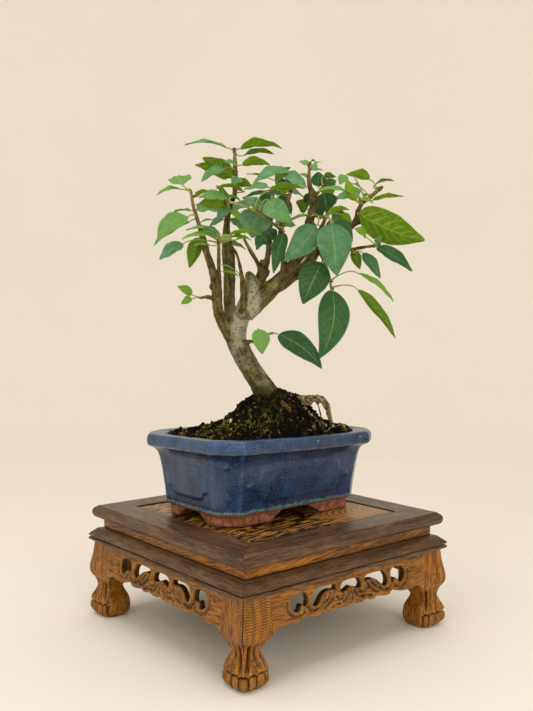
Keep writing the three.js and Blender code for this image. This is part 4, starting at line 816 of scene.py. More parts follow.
def pot_bowl():
    """The bowl, glazed outside and over the lip, as rings from the foot up and down inside."""
    heights = np.r_[np.arange(FOOT_HEIGHT, 16, 0.6), np.arange(16, 60, 1.25), np.arange(60, 78.1, 0.75)]
    rows = [[z, np.interp(z, POT_PROFILE[:-3, 0], POT_PROFILE[:-3, 1])] for z in heights]
    rows += [list(row) for row in POT_PROFILE[-3:]]
    rows = np.array(rows)
    kernel = np.array([1, 2, 1]) / 4
    rows[1:-4, 1] = np.convolve(rows[:, 1], kernel, mode="same")[1:-4]
    rings = [soft_ring(POT_FOOT + share * (POT_RIM - POT_FOOT), z) for z, share in rows]
    lip = INNER_RIM + [1.4, 1.4, 0]
    rings += [soft_ring(lip, 78.0, 0), soft_ring(INNER_RIM + [0.3, 0.3, 0], 77.4, 0)]
    for share in np.linspace(1, 0, 9):
        size = INNER_FLOOR + share * (INNER_RIM - INNER_FLOOR)
        rings.append(soft_ring(size, FLOOR_TOP + share * (INNER_RIM_HEIGHT - FLOOR_TOP), 0))
    rings = np.array(rings)
    outer = len(rows)
    ahead = np.roll(rings[:outer], -1, axis=1) - np.roll(rings[:outer], 1, axis=1)
    out = np.stack([ahead[..., 1], -ahead[..., 0], np.zeros(ahead.shape[:2])], axis=2)
    out /= np.linalg.norm(out, axis=2, keepdims=True)
    proud = raised_by(rings[:outer].reshape(-1, 3)).reshape(outer, -1, 1)
    rings[:outer] += out * proud * smooth_step(rows[:, 0], 78.6, 76)[:, None, None]
    # The lip's top waves a little, as a hand-finished edge does.
    rings[..., 2] += warp(rings[..., 0], rings[..., 1]) * smooth_step(rings[..., 2], 34, 64)
    top = smooth_step(rings[..., 2], 70, 78)
    rings[..., 2] += 0.5 * top * lumps(rings.reshape(-1, 3), 30, 25).reshape(top.shape) - 0.35 * top
    return rings.reshape(-1, 3), capped_rings(len(rings), rings.shape[1])


def solid_of(name, points, faces):
    """A closed mesh as an object for joining and cutting, its faces turned outwards."""
    mesh = mesh_of(name, points, faces)
    shape = bmesh.new()
    shape.from_mesh(mesh)
    bmesh.ops.recalc_face_normals(shape, faces=shape.faces)
    bmesh.ops.triangulate(shape, faces=[f for f in shape.faces if len(f.verts) > 4])
    shape.to_mesh(mesh)
    shape.free()
    return shown(name, mesh)


def applied(thing):
    """The object's mesh with its modifiers applied; the object is removed."""
    ready = thing.evaluated_get(bpy.context.evaluated_depsgraph_get())
    mesh = bpy.data.meshes.new_from_object(ready)
    bpy.data.objects.remove(thing)
    return mesh


def combined(thing, others, operation):
    """The mesh of a solid joined with or cut by other solids, which are used up."""
    for other in others:
        step = thing.modifiers.new(operation.lower(), "BOOLEAN")
        step.object, step.operation, step.solver = other, operation, "MANIFOLD"
    bpy.context.view_layer.update()
    mesh = applied(thing)
    for other in others:
        bpy.data.objects.remove(other)
    return mesh


def prism_between(name, size, low, high):
    """A plain eight-sided prism with soft corners."""
    rings = [soft_ring(size, z, 0) for z in (low, high)]
    return solid_of(name, np.vstack(rings), capped_rings(2, len(rings[0])))


def arch_block(arch, along):
    """A block through the whole foot ring whose section is the opening between two feet."""
    low, high = arch
    half = [[low + 2.4, -1], [low + 1.2, 0.4], [low, 1.4], [high + 1.6, FOOT_HEIGHT - 3],
            [high - 0.6, FOOT_HEIGHT - 1.2], [high - 4, FOOT_HEIGHT - 0.2]]
    section = half + [[-x, z] for x, z in half[::-1]]
    reach = 130
    rows = [[x, s, z] if along == 0 else [s, x, z] for s in (-reach, reach) for x, z in section]
    return solid_of("arch", rows, capped_rings(2, len(section)))


def pot_feet():
    """Four corner feet of bare clay, worn round, as one solid sunk into the bowl's underside."""
    size = POT_FOOT - [FOOT_INSET, FOOT_INSET, 0]
    ring = prism_between("feet", size, 0.3, FOOT_HEIGHT + 1.2)
    inner = prism_between("inner", size - [FOOT_WALL, FOOT_WALL, 0], -1, FOOT_HEIGHT + 3)
    mesh = combined(ring, [inner, arch_block(LONG_ARCH, 0), arch_block(SHORT_ARCH, 1)], "DIFFERENCE")
    feet = shown("feet", mesh)
    worn = feet.modifiers.new("worn", "REMESH")
    worn.mode, worn.voxel_size = "VOXEL", FEET_VOXEL * MM
    soft = feet.modifiers.new("soft", "SMOOTH")
    soft.iterations = 3
    mesh = applied(feet)
    points = mesh_points(mesh)
    pits = smooth_step(lumps(points, 2.6, 31) + 0.5 * lumps(points, 1.3, 32), 0.55, 0.85)
    worn_by = (0.35 * lumps(points, 6, 33) - 0.5 * pits)[:, None]
    points += worn_by * np.sign(points - [0, 0, 5]) * [0.6, 0.6, 0]
    points[:, 2] = np.maximum(points[:, 2], 0.05)
    move_points(mesh, points)
    return shown("feet", mesh)


def drain(side):
    """A round plug where a drainage hole goes."""
    sides = 40
    angles = np.linspace(0, 2 * math.pi, sides, endpoint=False)
    circle = np.column_stack([side * DRAIN_OFFSET + DRAIN_RADIUS * np.cos(angles),
                              DRAIN_RADIUS * np.sin(angles)])
    rows = np.vstack([np.column_stack([circle, np.full(sides, z)]) for z in (-5, FLOOR_TOP + 5)])
    return solid_of("drain", rows, capped_rings(2, sides))


def blue_glaze():
    """Thick blue stoneware glaze over reddish clay: mottled, thin and pale on edges, dark where it
    pools, with a painted shadow under the lip, painted grey patches of reflection and a painted highlight
    along the lip's lower edge, with a turquoise and cream crust where it stops; the clay below is dull and
    pitted."""
    material, add = new_finish("blue_stoneware_glaze")
    form, pool_and_shadow_attr, worn, glaze_break_and_highlight, crust, chipped, bare = (
        add("Attribute", attribute_name=name).outputs["Fac"]
        for name in ("form", "pool_and_shadow", "worn", "glaze_break_and_highlight", "crust", "chip", "bare"))
    place = add("TexCoord").outputs["Object"]
    place = add("VectorMath", {0: place, "Scale": 1 / MM}, operation="SCALE")
    runs = add("Mapping", {"Vector": place, "Scale": (1 / 17, 1 / 17, 1 / 22)})
    broad = add("TexNoise", {"Vector": runs, "Scale": 1, "Detail": 5, "Roughness": 0.65})
    speck = add("TexNoise", {"Vector": place, "Scale": 1 / 0.85, "Detail": 2, "Roughness": 0.6})
    blue = add("ValToRGB", {"Fac": broad}, stops=[(0.3, "#061733"), (0.7, "#1b3f6e"), (0.5, "#0c284e")])
    thin = add("MapRange", {"Value": form, "From Min": 0.06, "From Max": 0.26, "To Max": 0.6})
    blue = add("Mix", {"Factor": thin, "A": blue, "B": "#6f8cb2"})
    # Dark where glaze pools, and a painted shadow band under the lip.
    pool_and_shadow = add("MapRange", {"Value": form, "From Min": -0.02, "From Max": -0.2, "To Max": 0.8})
    pool_and_shadow = add("Math", {0: pool_and_shadow, 1: pool_and_shadow_attr}, operation="MAXIMUM")
    blue = add("Mix", {"Factor": pool_and_shadow, "A": blue, "B": "#081730"})
    # Painted reflection: grey patches stand for the pale backdrop mirrored in the glaze.
    painted_reflection = add("TexNoise", {"Vector": place, "Scale": 1 / 30, "Detail": 3, "Roughness": 0.6})
    painted_reflection = add("MapRange", {"Value": painted_reflection, "From Min": 0.44, "From Max": 0.66, "To Max": 0.42})
    blue = add("Mix", {"Factor": painted_reflection, "A": blue, "B": "#3d4a5e"})
    dots = add("MapRange", {"Value": speck, "From Min": 0.54, "From Max": 0.72, "To Max": 0.36})
    blue = add("Mix", {"Factor": dots, "A": blue, "B": "#7d96b8"})
    grain = add("MapRange", {"Value": speck, "From Min": 0.34, "From Max": 0.62, "To Max": 0.7})
    worn = add("Math", {0: worn, 1: grain}, operation="MULTIPLY")
    blue = add("Mix", {"Factor": worn, "A": blue, "B": "#5f80b0"})
    # The glaze breaks to a thin, dusty pale line along the lip's lower edge, which is also a painted
    # highlight there.
    blue = add("Mix", {"Factor": glaze_break_and_highlight, "A": blue, "B": "#a5a39c"})
    crust_colour = add("ValToRGB", {"Fac": speck}, stops=[
        (0.36, "#17405a"), (0.62, "#86a083"), (0.5, "#3a7078"), (0.72, "#aca85e")])
    blue = add("Mix", {"Factor": crust, "A": blue, "B": crust_colour})
    clay_tone = add("TexNoise", {"Vector": place, "Scale": 1 / 6, "Detail": 5, "Roughness": 0.7})
    clay = add("ValToRGB", {"Fac": clay_tone}, stops=[
        (0.34, "#5c3522"), (0.66, "#ac7052"), (0.5, "#8a5239")])
    pits = add("MapRange", {"Value": speck, "From Min": 0.4, "From Max": 0.28, "To Max": 0.7})
    clay = add("Mix", {"Factor": pits, "A": clay, "B": "#4a2418"})
    clay = add("Mix", {"Factor": chipped, "A": clay, "B": "#b39068"})
    colour = add("Mix", {"Factor": bare, "A": blue, "B": clay})
    rough = add("MapRange", {"Value": bare, "To Min": 0.24, "To Max": 0.85})
    ripple = add("Bump", {"Height": speck, "Strength": 0.25, "Distance": 0.15 * MM})
    shader = add("BsdfPrincipled", {"Base Color": colour, "Roughness": rough, "Specular IOR Level": 0.42,
                                    "Normal": ripple})
    add("OutputMaterial", {"Surface": shader})
    return material


bowl_points, bowl_faces = pot_bowl()
joined = combined(solid_of("bowl", bowl_points, bowl_faces), [pot_feet()], "UNION")
bowl = shown("bowl", joined)
pot_mesh = combined(bowl, [drain(-1), drain(1)], "DIFFERENCE")
pot_mesh.name = "pot_body"
fired = mesh_points(pot_mesh)
at = fired.copy()
at[:, 2] -= warp(at[:, 0], at[:, 1]) * smooth_step(at[:, 2], 36, 66)  # heights as they were thrown
level, height = at * [1, 1, 0], at[:, 2]
glaze_line = 12.4 + 0.8 * lumps(level, 12, 41) + 0.5 * lumps(level, 3.5, 42)
share = np.clip((height - FLOOR_TOP) / (INNER_RIM_HEIGHT - FLOOR_TOP), 0, 1)[:, None]
length, depth, cut = (INNER_FLOOR + share * (INNER_RIM - INNER_FLOOR)).T + [[1], [1], [0]]
across, along = np.abs(at[:, :2]).T
inside = (across < length) & (along < depth) & (across + along < length + depth - cut)
chips = smooth_step(lumps(at, 5, 43) + 0.4 * lumps(at, 1.8, 44), 0.96, 1.02)
chips = chips * (height > 66) * (height < 76.8)
bare = np.maximum(smooth_step(glaze_line - height, -0.4, 0.5), inside * smooth_step(height, 75.5, 74))
band = smooth_step(height, glaze_line - 0.6, glaze_line + 0.2)
crusty = band * smooth_step(height + 1.3 * lumps(at, 2.5, 45), glaze_line + 4.4, glaze_line + 1.4)
set_attribute(pot_mesh, "bare", np.maximum(bare, chips))
set_attribute(pot_mesh, "crust", 0.9 * crusty * smooth_step(lumps(at, 3, 47), -0.75, 0.1))
set_attribute(pot_mesh, "chip", chips)
# A pale line along the lip's lower edge: the glaze breaking there, and a painted highlight.
lower_edge = np.exp(-((height - 66.7 - 0.3 * lumps(at, 8, 48)) / 0.75) ** 2) * (1 - inside)
set_attribute(pot_mesh, "glaze_break_and_highlight", lower_edge * np.clip(0.45 + 0.4 * lumps(at, 6, 49), 0, 0.8))
# Paler glaze on the lip's face, fading out towards its right, and thinner, paler glaze down the upright
# edges between the sides.
share = np.interp(height, POT_PROFILE[:-3, 0], POT_PROFILE[:-3, 1])
length, depth, cut = POT_FOOT[:, None] + share * (POT_RIM - POT_FOOT)[:, None]
beside = np.minimum(np.hypot(across - length + cut, along - depth),
                    np.hypot(across - length, along - depth + cut))
upright = np.exp(-(beside / 2.2) ** 2) * np.clip(0.5 + 0.7 * lumps(at, 7, 50), 0, 1)
lip_face = smooth_step(height, 66.8, 69) * (0.34 + 0.3 * lumps(at, 9, 57))
lip_face = lip_face * (1 - 0.8 * smooth_step(at[:, 0], -50, 20))
set_attribute(pot_mesh, "worn", np.maximum(0.7 * upright, lip_face) * (1 - inside))
edge = cartouche_depth(at)
low_side = smooth_step(height, 44, 30)
pooled = smooth_step(edge, -4.4, -1.1) * smooth_step(edge, 0.7, -0.3) * (0.1 + 0.9 * low_side)
# Painted shadow: a dark band round the neck under the lip, where glaze also pools.
neck_shadow = smooth_step(height + 5 * lumps(level, 14, 59), 50, 61) * smooth_step(height, 66.6, 65)
# The lip's face is darker towards its right.
lip_darker_right = smooth_step(height, 66.8, 68) * smooth_step(height, 76, 74)
lip_darker_right = lip_darker_right * smooth_step(at[:, 0], -40, 40) * 0.7
pooled = np.maximum.reduce([pooled, neck_shadow, lip_darker_right])
set_attribute(pot_mesh, "pool_and_shadow", pooled * (0.75 + 0.35 * lumps(at, 9, 46)))
store_form(pot_mesh)
move_points(pot_mesh, fired + [*POT_CENTRE, POT_BASE])
piece("pot_body", pot_mesh, blue_glaze(), "pot_glaze", "pot", sharp=60)

# ---------------------------------------------------------------- drainage screens
# Two squares of black plastic mesh laid over the drainage holes before the soil goes in.
# They are hidden in use, so the built solids stay and only get their finish.


def black_plastic():
    """Moulded polyethylene mesh: black, slightly glossy, with dusty mineral marks."""
    material, add = new_finish("black_polyethylene")
    place = add("TexCoord").outputs["Object"]
    dust = add("TexNoise", {"Vector": place, "Scale": 1 / (4 * MM), "Detail": 3})
    colour = add("ValToRGB", {"Fac": dust}, stops=[(0.45, "#141515"), (0.7, "#3a3731")])
    rough = add("MapRange", {"Value": dust, "To Min": 0.35, "To Max": 0.7})
    shader = add("BsdfPrincipled", {"Base Color": colour, "Roughness": rough, "IOR": 1.51})
    add("OutputMaterial", {"Surface": shader})
    return material


plastic = black_plastic()
for side in ("left", "right"):
    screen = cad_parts[f"drain_screen_{side}"]
    screen.data.materials.clear()
    screen.data.materials.append(plastic)

# ---------------------------------------------------------------- soil
# A mound of dark bonsai soil: peat, bark crumbs and grit, heaped against the trunk's foot,
# with patches of yellow-green moss on its sunny side, bark chips and a few loose roots.
TREE_TURN = math.radians(-39.7)
TRUNK_FOOT = np.array([10.7, -1.1])
SOIL_EDGE = 74.5
SOIL_FLOOR = FLOOR_TOP + 1.5
SOIL_CLEARANCE = 0.35
soil_share = (SOIL_EDGE - FLOOR_TOP) / (INNER_RIM_HEIGHT - FLOOR_TOP)
SOIL_WALL = INNER_FLOOR + (INNER_RIM - INNER_FLOOR) * soil_share - [SOIL_CLEARANCE, SOIL_CLEARANCE, 0]
SOIL_HEAP = (11.5, -15.5)  # where soil and moss climb the trunk
MOSS_PATCHES = [((-62, 4), 42), ((-28, -34), 30), ((-74, 24), 20), ((8, -22), 20), ((36, -22), 16),
                ((-22, 40), 26), ((40, 38), 20)]


def wall_share(x, y):
    """How far out a place from the pot's middle lies: 0 at the trunk's foot, 1 at the pot's wall."""
    middle = TRUNK_FOOT - POT_CENTRE
    length, depth, cut = SOIL_WALL
    share = np.zeros_like(x)
    for sx, sy, limit in [(1, 0, length), (0, 1, depth), (1, 1, length + depth - cut)]:
        for px, py in {(sx, sy), (-sx, sy), (sx, -sy), (-sx, -sy)}:
            out = px * (x - middle[0]) + py * (y - middle[1])
            share = np.maximum(share, out / (limit - px * middle[0] - py * middle[1]))
    return share


def mound_height(x, y):
    """Height over the pot's foot at a place from the pot's middle: steep at the trunk, cloddy, and
    level by the pot's wall."""
    wall = smooth_step(wall_share(x, y), 1.0, 0.93)
    reach = np.hypot(x + POT_CENTRE[0] - TRUNK_FOOT[0], y + POT_CENTRE[1] - TRUNK_FOOT[1])
    heap = np.exp(-((x - SOIL_HEAP[0]) ** 2 + (y - SOIL_HEAP[1]) ** 2) / 90)
    rise = 2.5 + 7.5 * (1 - smooth_step(reach, 36, 92)) + 28 * (1 - smooth_step(reach, 18, 58)) + 8.5 * heap
    flat = np.column_stack([x, y, np.zeros(len(x))])
    rise += 1.7 * lumps(flat, 14, 51) + 1.1 * lumps(flat, 6, 52) + 1.2 * lumps(flat, 1.9, 54)
    rise += np.maximum(lumps(flat, 4.2, 53), -0.15) * 4.2
    return SOIL_EDGE + rise * (0.35 + 0.65 * wall)


def mound_rings(levels=56):
    """The mound's surface, as rings from the pot's wall to the trunk's foot."""
    rim = soft_ring(SOIL_WALL, SOIL_EDGE, 0, 70, 50)
    focus = np.array([*(TRUNK_FOOT - POT_CENTRE), SOIL_EDGE])
    rings = [rim]
    for share in np.linspace(0.985, 0.03, levels):
        ring = focus + (rim - focus) * share
        ring[:, 2] = mound_height(ring[:, 0], ring[:, 1])
        rings.append(ring)
    low = soft_ring(INNER_FLOOR - [SOIL_CLEARANCE, SOIL_CLEARANCE, 0], SOIL_FLOOR, 0, 70, 50)
    return np.array([low] + rings)


def mossiness(x, y):
    """How mossy the mound is at a place, 0 to 1."""
    moss = np.zeros_like(x)
    for (cx, cy), reach in MOSS_PATCHES:
        moss = np.maximum(moss, 1 - np.hypot(x - cx, y - cy) / reach)
    flat = np.column_stack([x, y, np.zeros(len(x))])
    return smooth_step(moss + 0.55 * lumps(flat, 8, 55) + 0.75 * lumps(flat, 3.2, 56), 0.12, 0.6)


def dark_soil():
    """Damp peat and bark: near black in its hollows, dark brown on its crumbs, green where moss grows."""
    material, add = new_finish("damp_peat_soil")
    place = add("TexCoord").outputs["Object"]
    place = add("VectorMath", {0: place, "Scale": 1 / MM}, operation="SCALE")
    grit = add("TexNoise", {"Vector": place, "Scale": 1 / 1.4, "Detail": 4, "Roughness": 0.7})
    soil = add("ValToRGB", {"Fac": grit}, stops=[(0.36, "#040301"), (0.7, "#191206"), (0.52, "#0a0703")])
    green = add("ValToRGB", {"Fac": grit}, stops=[(0.34, "#14170a"), (0.68, "#585a18"), (0.5, "#30340e")])
    moss = add("Attribute", attribute_name="moss").outputs["Fac"]
    colour = add("Mix", {"Factor": moss, "A": soil, "B": green})
    relief = add("Bump", {"Height": grit, "Strength": 0.8, "Distance": 0.8 * MM})
    shader = add("BsdfPrincipled", {"Base Color": colour, "Roughness": 0.92, "Specular IOR Level": 0.08,
                                    "Normal": relief})
    add("OutputMaterial", {"Surface": shader})
    return material


rings = mound_rings()
soil_faces = capped_rings(len(rings), rings.shape[1])
soil_points = rings.reshape(-1, 3)
soil_mesh = mesh_of("soil_mound", soil_points + [*POT_CENTRE, POT_BASE], soil_faces)
set_attribute(soil_mesh, "moss", mossiness(soil_points[:, 0], soil_points[:, 1]))
piece("soil_mound", soil_mesh, dark_soil(), "soil", "soil", sharp=180)


def merged(parts):
    """Several (points, faces) lists as one."""
    points, faces, start = [], [], 0
    for part in parts:
        points.append(part[0])
        faces += [[start + k for k in face] for face in part[1]]
        start += len(part[0])
    return np.vstack(points), faces


def scatter(name, seeds, shapes, finish, seed, size, spread, tilt):
    """A Geometry Nodes copy of a few small shapes at seed points, turned and sized at random."""
    tree = bpy.data.node_groups.new(name, "GeometryNodeTree")
    add = partial(add_node, tree)
    tree.interface.new_socket("Points", in_out="INPUT", socket_type="NodeSocketGeometry")
    for label in ("Size", "Spread", "Tilt"):
        tree.interface.new_socket(label, in_out="INPUT", socket_type="NodeSocketFloat")
    tree.interface.new_socket("Pieces", in_out="OUTPUT", socket_type="NodeSocketGeometry")
    into = add("NodeGroupInput")
    kinds = add("GeometryNodeCollectionInfo", {"Collection": shapes, "Separate Children": True,
                                               "Reset Children": True})
    size_of, spread_of, tilt_of = (into.outputs[label] for label in ("Size", "Spread", "Tilt"))
    least = add("Math", {0: size_of, 1: spread_of}, operation="SUBTRACT")
    most = add("Math", {0: size_of, 1: spread_of}, operation="ADD")
    scale = add("FunctionNodeRandomValue", {"Seed": seed, 2: least, 3: most}, data_type="FLOAT")
    lean = add("Math", {0: tilt_of, 1: -1.0}, operation="MULTIPLY")
    low = add("CombineXYZ", {"X": lean, "Y": lean})
    high = add("CombineXYZ", {"X": tilt_of, "Y": tilt_of, "Z": 2 * math.pi})
    turn = add("FunctionNodeRandomValue", {"Seed": seed + 1, 0: low, 1: high}, data_type="FLOAT_VECTOR")
    copies = add("GeometryNodeInstanceOnPoints", {
        "Points": into.outputs["Points"], "Instance": kinds, "Pick Instance": True, "Rotation": turn,
        "Scale": scale})
    solid = add("GeometryNodeRealizeInstances", {"Geometry": copies})
    dressed = add("GeometryNodeSetMaterial", {"Geometry": solid, "Material": finish})
    add("NodeGroupOutput", {0: dressed})
    host = shown(name, mesh_of(name, seeds, []))
    step = host.modifiers.new("scatter", "NODES")
    step.node_group = tree
    for item in tree.interface.items_tree:
        if item.in_out == "INPUT" and item.name in ("Size", "Spread", "Tilt"):
            step[item.identifier] = {"Size": size, "Spread": spread, "Tilt": tilt}[item.name]
    mesh = applied(host)
    mesh.name = name
    return mesh


def collection_of(name, meshes):
    """A hidden collection holding one object for each mesh, for scattering."""
    group = bpy.data.collections.new(name)
    for k, mesh in enumerate(meshes):
        group.objects.link(bpy.data.objects.new(f"{name}_{k}", mesh))
    return group


def ball(radius, detail=3):
    """A round body's points and faces."""
    shape = bmesh.new()
    bmesh.ops.create_icosphere(shape, subdivisions=detail, radius=radius)
    points = np.array([v.co for v in shape.verts])
    faces = [[v.index for v in f.verts] for f in shape.faces]
    shape.free()
    return points, faces


def pebble_mesh(name, seed, flat=(1, 0.8, 0.6), rough=0.25):
    """A small angular lump about 1 mm across."""
    points, faces = ball(0.5, 1)
    points *= (1 + rough * lumps(points * 2, 1, seed))[:, None] * np.array(flat)
    return mesh_of(name, points, faces)


def tuft_mesh(name, seed, strands=4, length=2.6, thick=0.15):
    """A tuft of moss: thin three-sided strands that lean out and end in a point."""
    draw = np.random.default_rng(seed)
    points, faces = [], []
    for _ in range(strands):
        turn, lean = draw.uniform(0, 2 * math.pi), draw.uniform(0.2, 1.1)
        reach = length * draw.uniform(0.6, 1.1)
        flat = math.sin(lean)
        heading = np.array([math.cos(turn) * flat, math.sin(turn) * flat, math.cos(lean)])
        foot = draw.uniform(-0.7, 0.7, 3) * [1, 1, 0] - [0, 0, 0.5]
        bend = foot + heading * reach * 0.55 + [0, 0, 0.12 * reach]
        start = len(points)
        for centre, width in [(foot, thick), (bend, thick * 1.5)]:
            for k in range(3):
                a = k * 2 * math.pi / 3
                points.append(centre + width * np.array([math.cos(a), math.sin(a), 0]))
        points.append(foot + heading * reach)
        foot_edges = [(start + k, start + (k + 1) % 3) for k in range(3)]
        faces += [[a, b, b + 3, a + 3] for a, b in foot_edges]
        faces += [[a + 3, b + 3, start + 6] for a, b in foot_edges]
        faces.append([start + 2, start + 1, start])
    return mesh_of(name, points, faces)


def mound_places(count, seed, keep):
    """Seed points on the mound, kept where keep(x, y) is above a random number."""
    draw = np.random.default_rng(seed)
    x = draw.uniform(-INNER_RIM[0] + 3, INNER_RIM[0] - 3, count)
    y = draw.uniform(-INNER_RIM[1] + 3, INNER_RIM[1] - 3, count)
    kept = (wall_share(x, y) < 0.965) & (draw.uniform(0, 1, count) < keep(x, y))
    x, y = x[kept], y[kept]
    return np.column_stack([x, y, mound_height(x, y)]) + [*POT_CENTRE, POT_BASE]


def crumb_finish(name, stops, rough):
    """Small bits of one stuff, each patch of them a little different in tone."""
    material, add = new_finish(name)
    place = add("TexCoord").outputs["Object"]
    tone = add("TexNoise", {"Vector": place, "Scale": 1 / (2.2 * MM), "Detail": 2, "Roughness": 0.6})
    colour = add("ValToRGB", {"Fac": tone}, stops=stops)
    shader = add("BsdfPrincipled", {"Base Color": colour, "Roughness": rough, "Specular IOR Level": 0.12})
    add("OutputMaterial", {"Surface": shader})
    return material


def on_soil(name, mesh, sharp=180):
    """A scattered piece that lies on the soil and belongs with it."""
    mesh.shade_smooth() if sharp > 90 else mesh.shade_flat()
    made = shown(name, mesh)
    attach(made, "root")
    return made


# Peat crumbs: near-black, angular, thick on the bare parts.
crumbs = collection_of("crumb_shapes", [pebble_mesh(f"crumb_{k}", 60 + k, rough=0.5) for k in range(5)])
peat = crumb_finish("dark_peat_crumbs", [(0.35, "#050301"), (0.65, "#1b1308")], 0.9)
places = mound_places(5200, 61, lambda x, y: 0.85 - 0.4 * mossiness(x, y)) + [0, 0, 0.3]
on_soil("soil_crumbs", scatter("soil_crumbs", places, crumbs, peat, 62, 2.6, 1.3, 3.1), 0)
# Clods: rough lumps of root and peat, several millimetres across, that break up the outline.
clods = collection_of("clod_shapes", [pebble_mesh(f"clod_{k}", 160 + k, rough=0.75) for k in range(6)])
places = mound_places(1500, 67, lambda x, y: 0.62) - [0, 0, 0.4]
on_soil("soil_clods", scatter("soil_clods", places, clods, peat, 68, 5.2, 2.2, 3.1), 0)
# Chips of pine bark and old wood: tan to orange brown, flat and split.
chips = collection_of("chip_shapes", [
    pebble_mesh(f"chip_{k}", 70 + k, flat=(1.5, 0.62, 0.34), rough=0.45) for k in range(5)])
chip_bark = crumb_finish("pine_bark_chips", [(0.3, "#2a1b0b"), (0.72, "#a8946a"), (0.52, "#573e1f")], 0.8)
places = mound_places(1300, 63, lambda x, y: 0.3) + [0, 0, 0.6]
on_soil("bark_chips", scatter("bark_chips", places, chips, chip_bark, 64, 2.4, 1.6, 1.3), 0)
# Larger bits of bark and one white grain of perlite, listed one by one: [x, y, z], half sizes, turn, lean.
BARK_LUMPS = [
    [(2, -30.5, 216.5), (7, 3.6, 2.2), -50, 42], [(2.5, -35.5, 211), (3, 1.6, 1.2), 20, 30],
    [(21.8, -49, 197.2), (5.2, 1.9, 1.1), 62, -35], [(15.2, -50.3, 194), (2.6, 1.3, 1), -20, 20],
    [(39.9, -36.7, 199.6), (2.8, 1.2, 0.9), 80, 15], [(-5.6, -47.6, 198), (2.2, 1.2, 0.8), 30, -20],
    [(-20.8, -25.7, 206), (2.6, 1, 0.8), 100, 30], [(11.3, -25.5, 222.2), (2, 1.3, 0.9), 10, 0],
]
lump_parts = []
for k, (spot, half, turn, lean) in enumerate(BARK_LUMPS + [[(-36.5, 7.2, 201), (1, 1, 2.4), 0, 12]]):
    points, faces = ball(1)
    points = np.sign(points) * np.abs(points) ** 0.7 * half
    uneven = 0.2 * lumps(points + 20 * k, 1.6, 58) + 0.12 * lumps(points * [0.3, 1, 1] - 9 * k, 0.8, 59)
    points *= (1 + uneven)[:, None]
    spin = Euler((0, math.radians(lean), math.radians(turn))).to_matrix()
    lump_parts.append((points @ np.array(spin).T + spot, faces))
chunks = mesh_of("bark_lumps", *merged(lump_parts[:-1]))
old_bark = crumb_finish("old_bark_lumps", [(0.34, "#2a190a"), (0.68, "#8d6b40"), (0.5, "#5b3e20")], 0.85)
chunks.materials.append(old_bark)
on_soil("bark_lumps", chunks)
grain_mesh = mesh_of("perlite_grain", *lump_parts[-1])
grain_mesh.materials.append(crumb_finish("white_perlite", [(0.3, "#d9d4c4"), (0.7, "#f4f1e6")], 0.8))
on_soil("perlite_grain", grain_mesh)
# Moss: tufts of short yellow-green strands, thick on the mossy patches.
tufts = collection_of("tuft_shapes", [tuft_mesh(f"tuft_{k}", 80 + k) for k in range(6)])
# Painted light and shade: the moss to the left of the trunk, where the light reaches it, gets a brighter
# colour than the rest.
places = mound_places(9200, 65, mossiness) - [0, 0, 0.2]
sunny = places[:, 0] + 12 * lumps(places, 12, 60) < -24
for label, spots, stops in [
    ("sunny", places[sunny], [(0.34, "#444614"), (0.64, "#cfcc52"), (0.5, "#8c9028")]),
    ("shaded", places[~sunny], [(0.36, "#141805"), (0.68, "#666c1d"), (0.52, "#333b0c")]),
]:
    moss_green = crumb_finish(f"{label}_cushion_moss", stops, 0.85)
    on_soil(f"moss_{label}", scatter(f"moss_{label}", spots, tufts, moss_green, 66, 0.85, 0.4, 0.9))

# ---------------------------------------------------------------- tree's wood
# Trunk, branches, cut stubs and surface roots, grown as one. The bark is thin and olive grey
# with pale patches and dark pores; twigs are red-brown with ringed scars, and the foot mossy.
WOOD_VOXEL = 0.95  # grid on which the stems grow into one skin
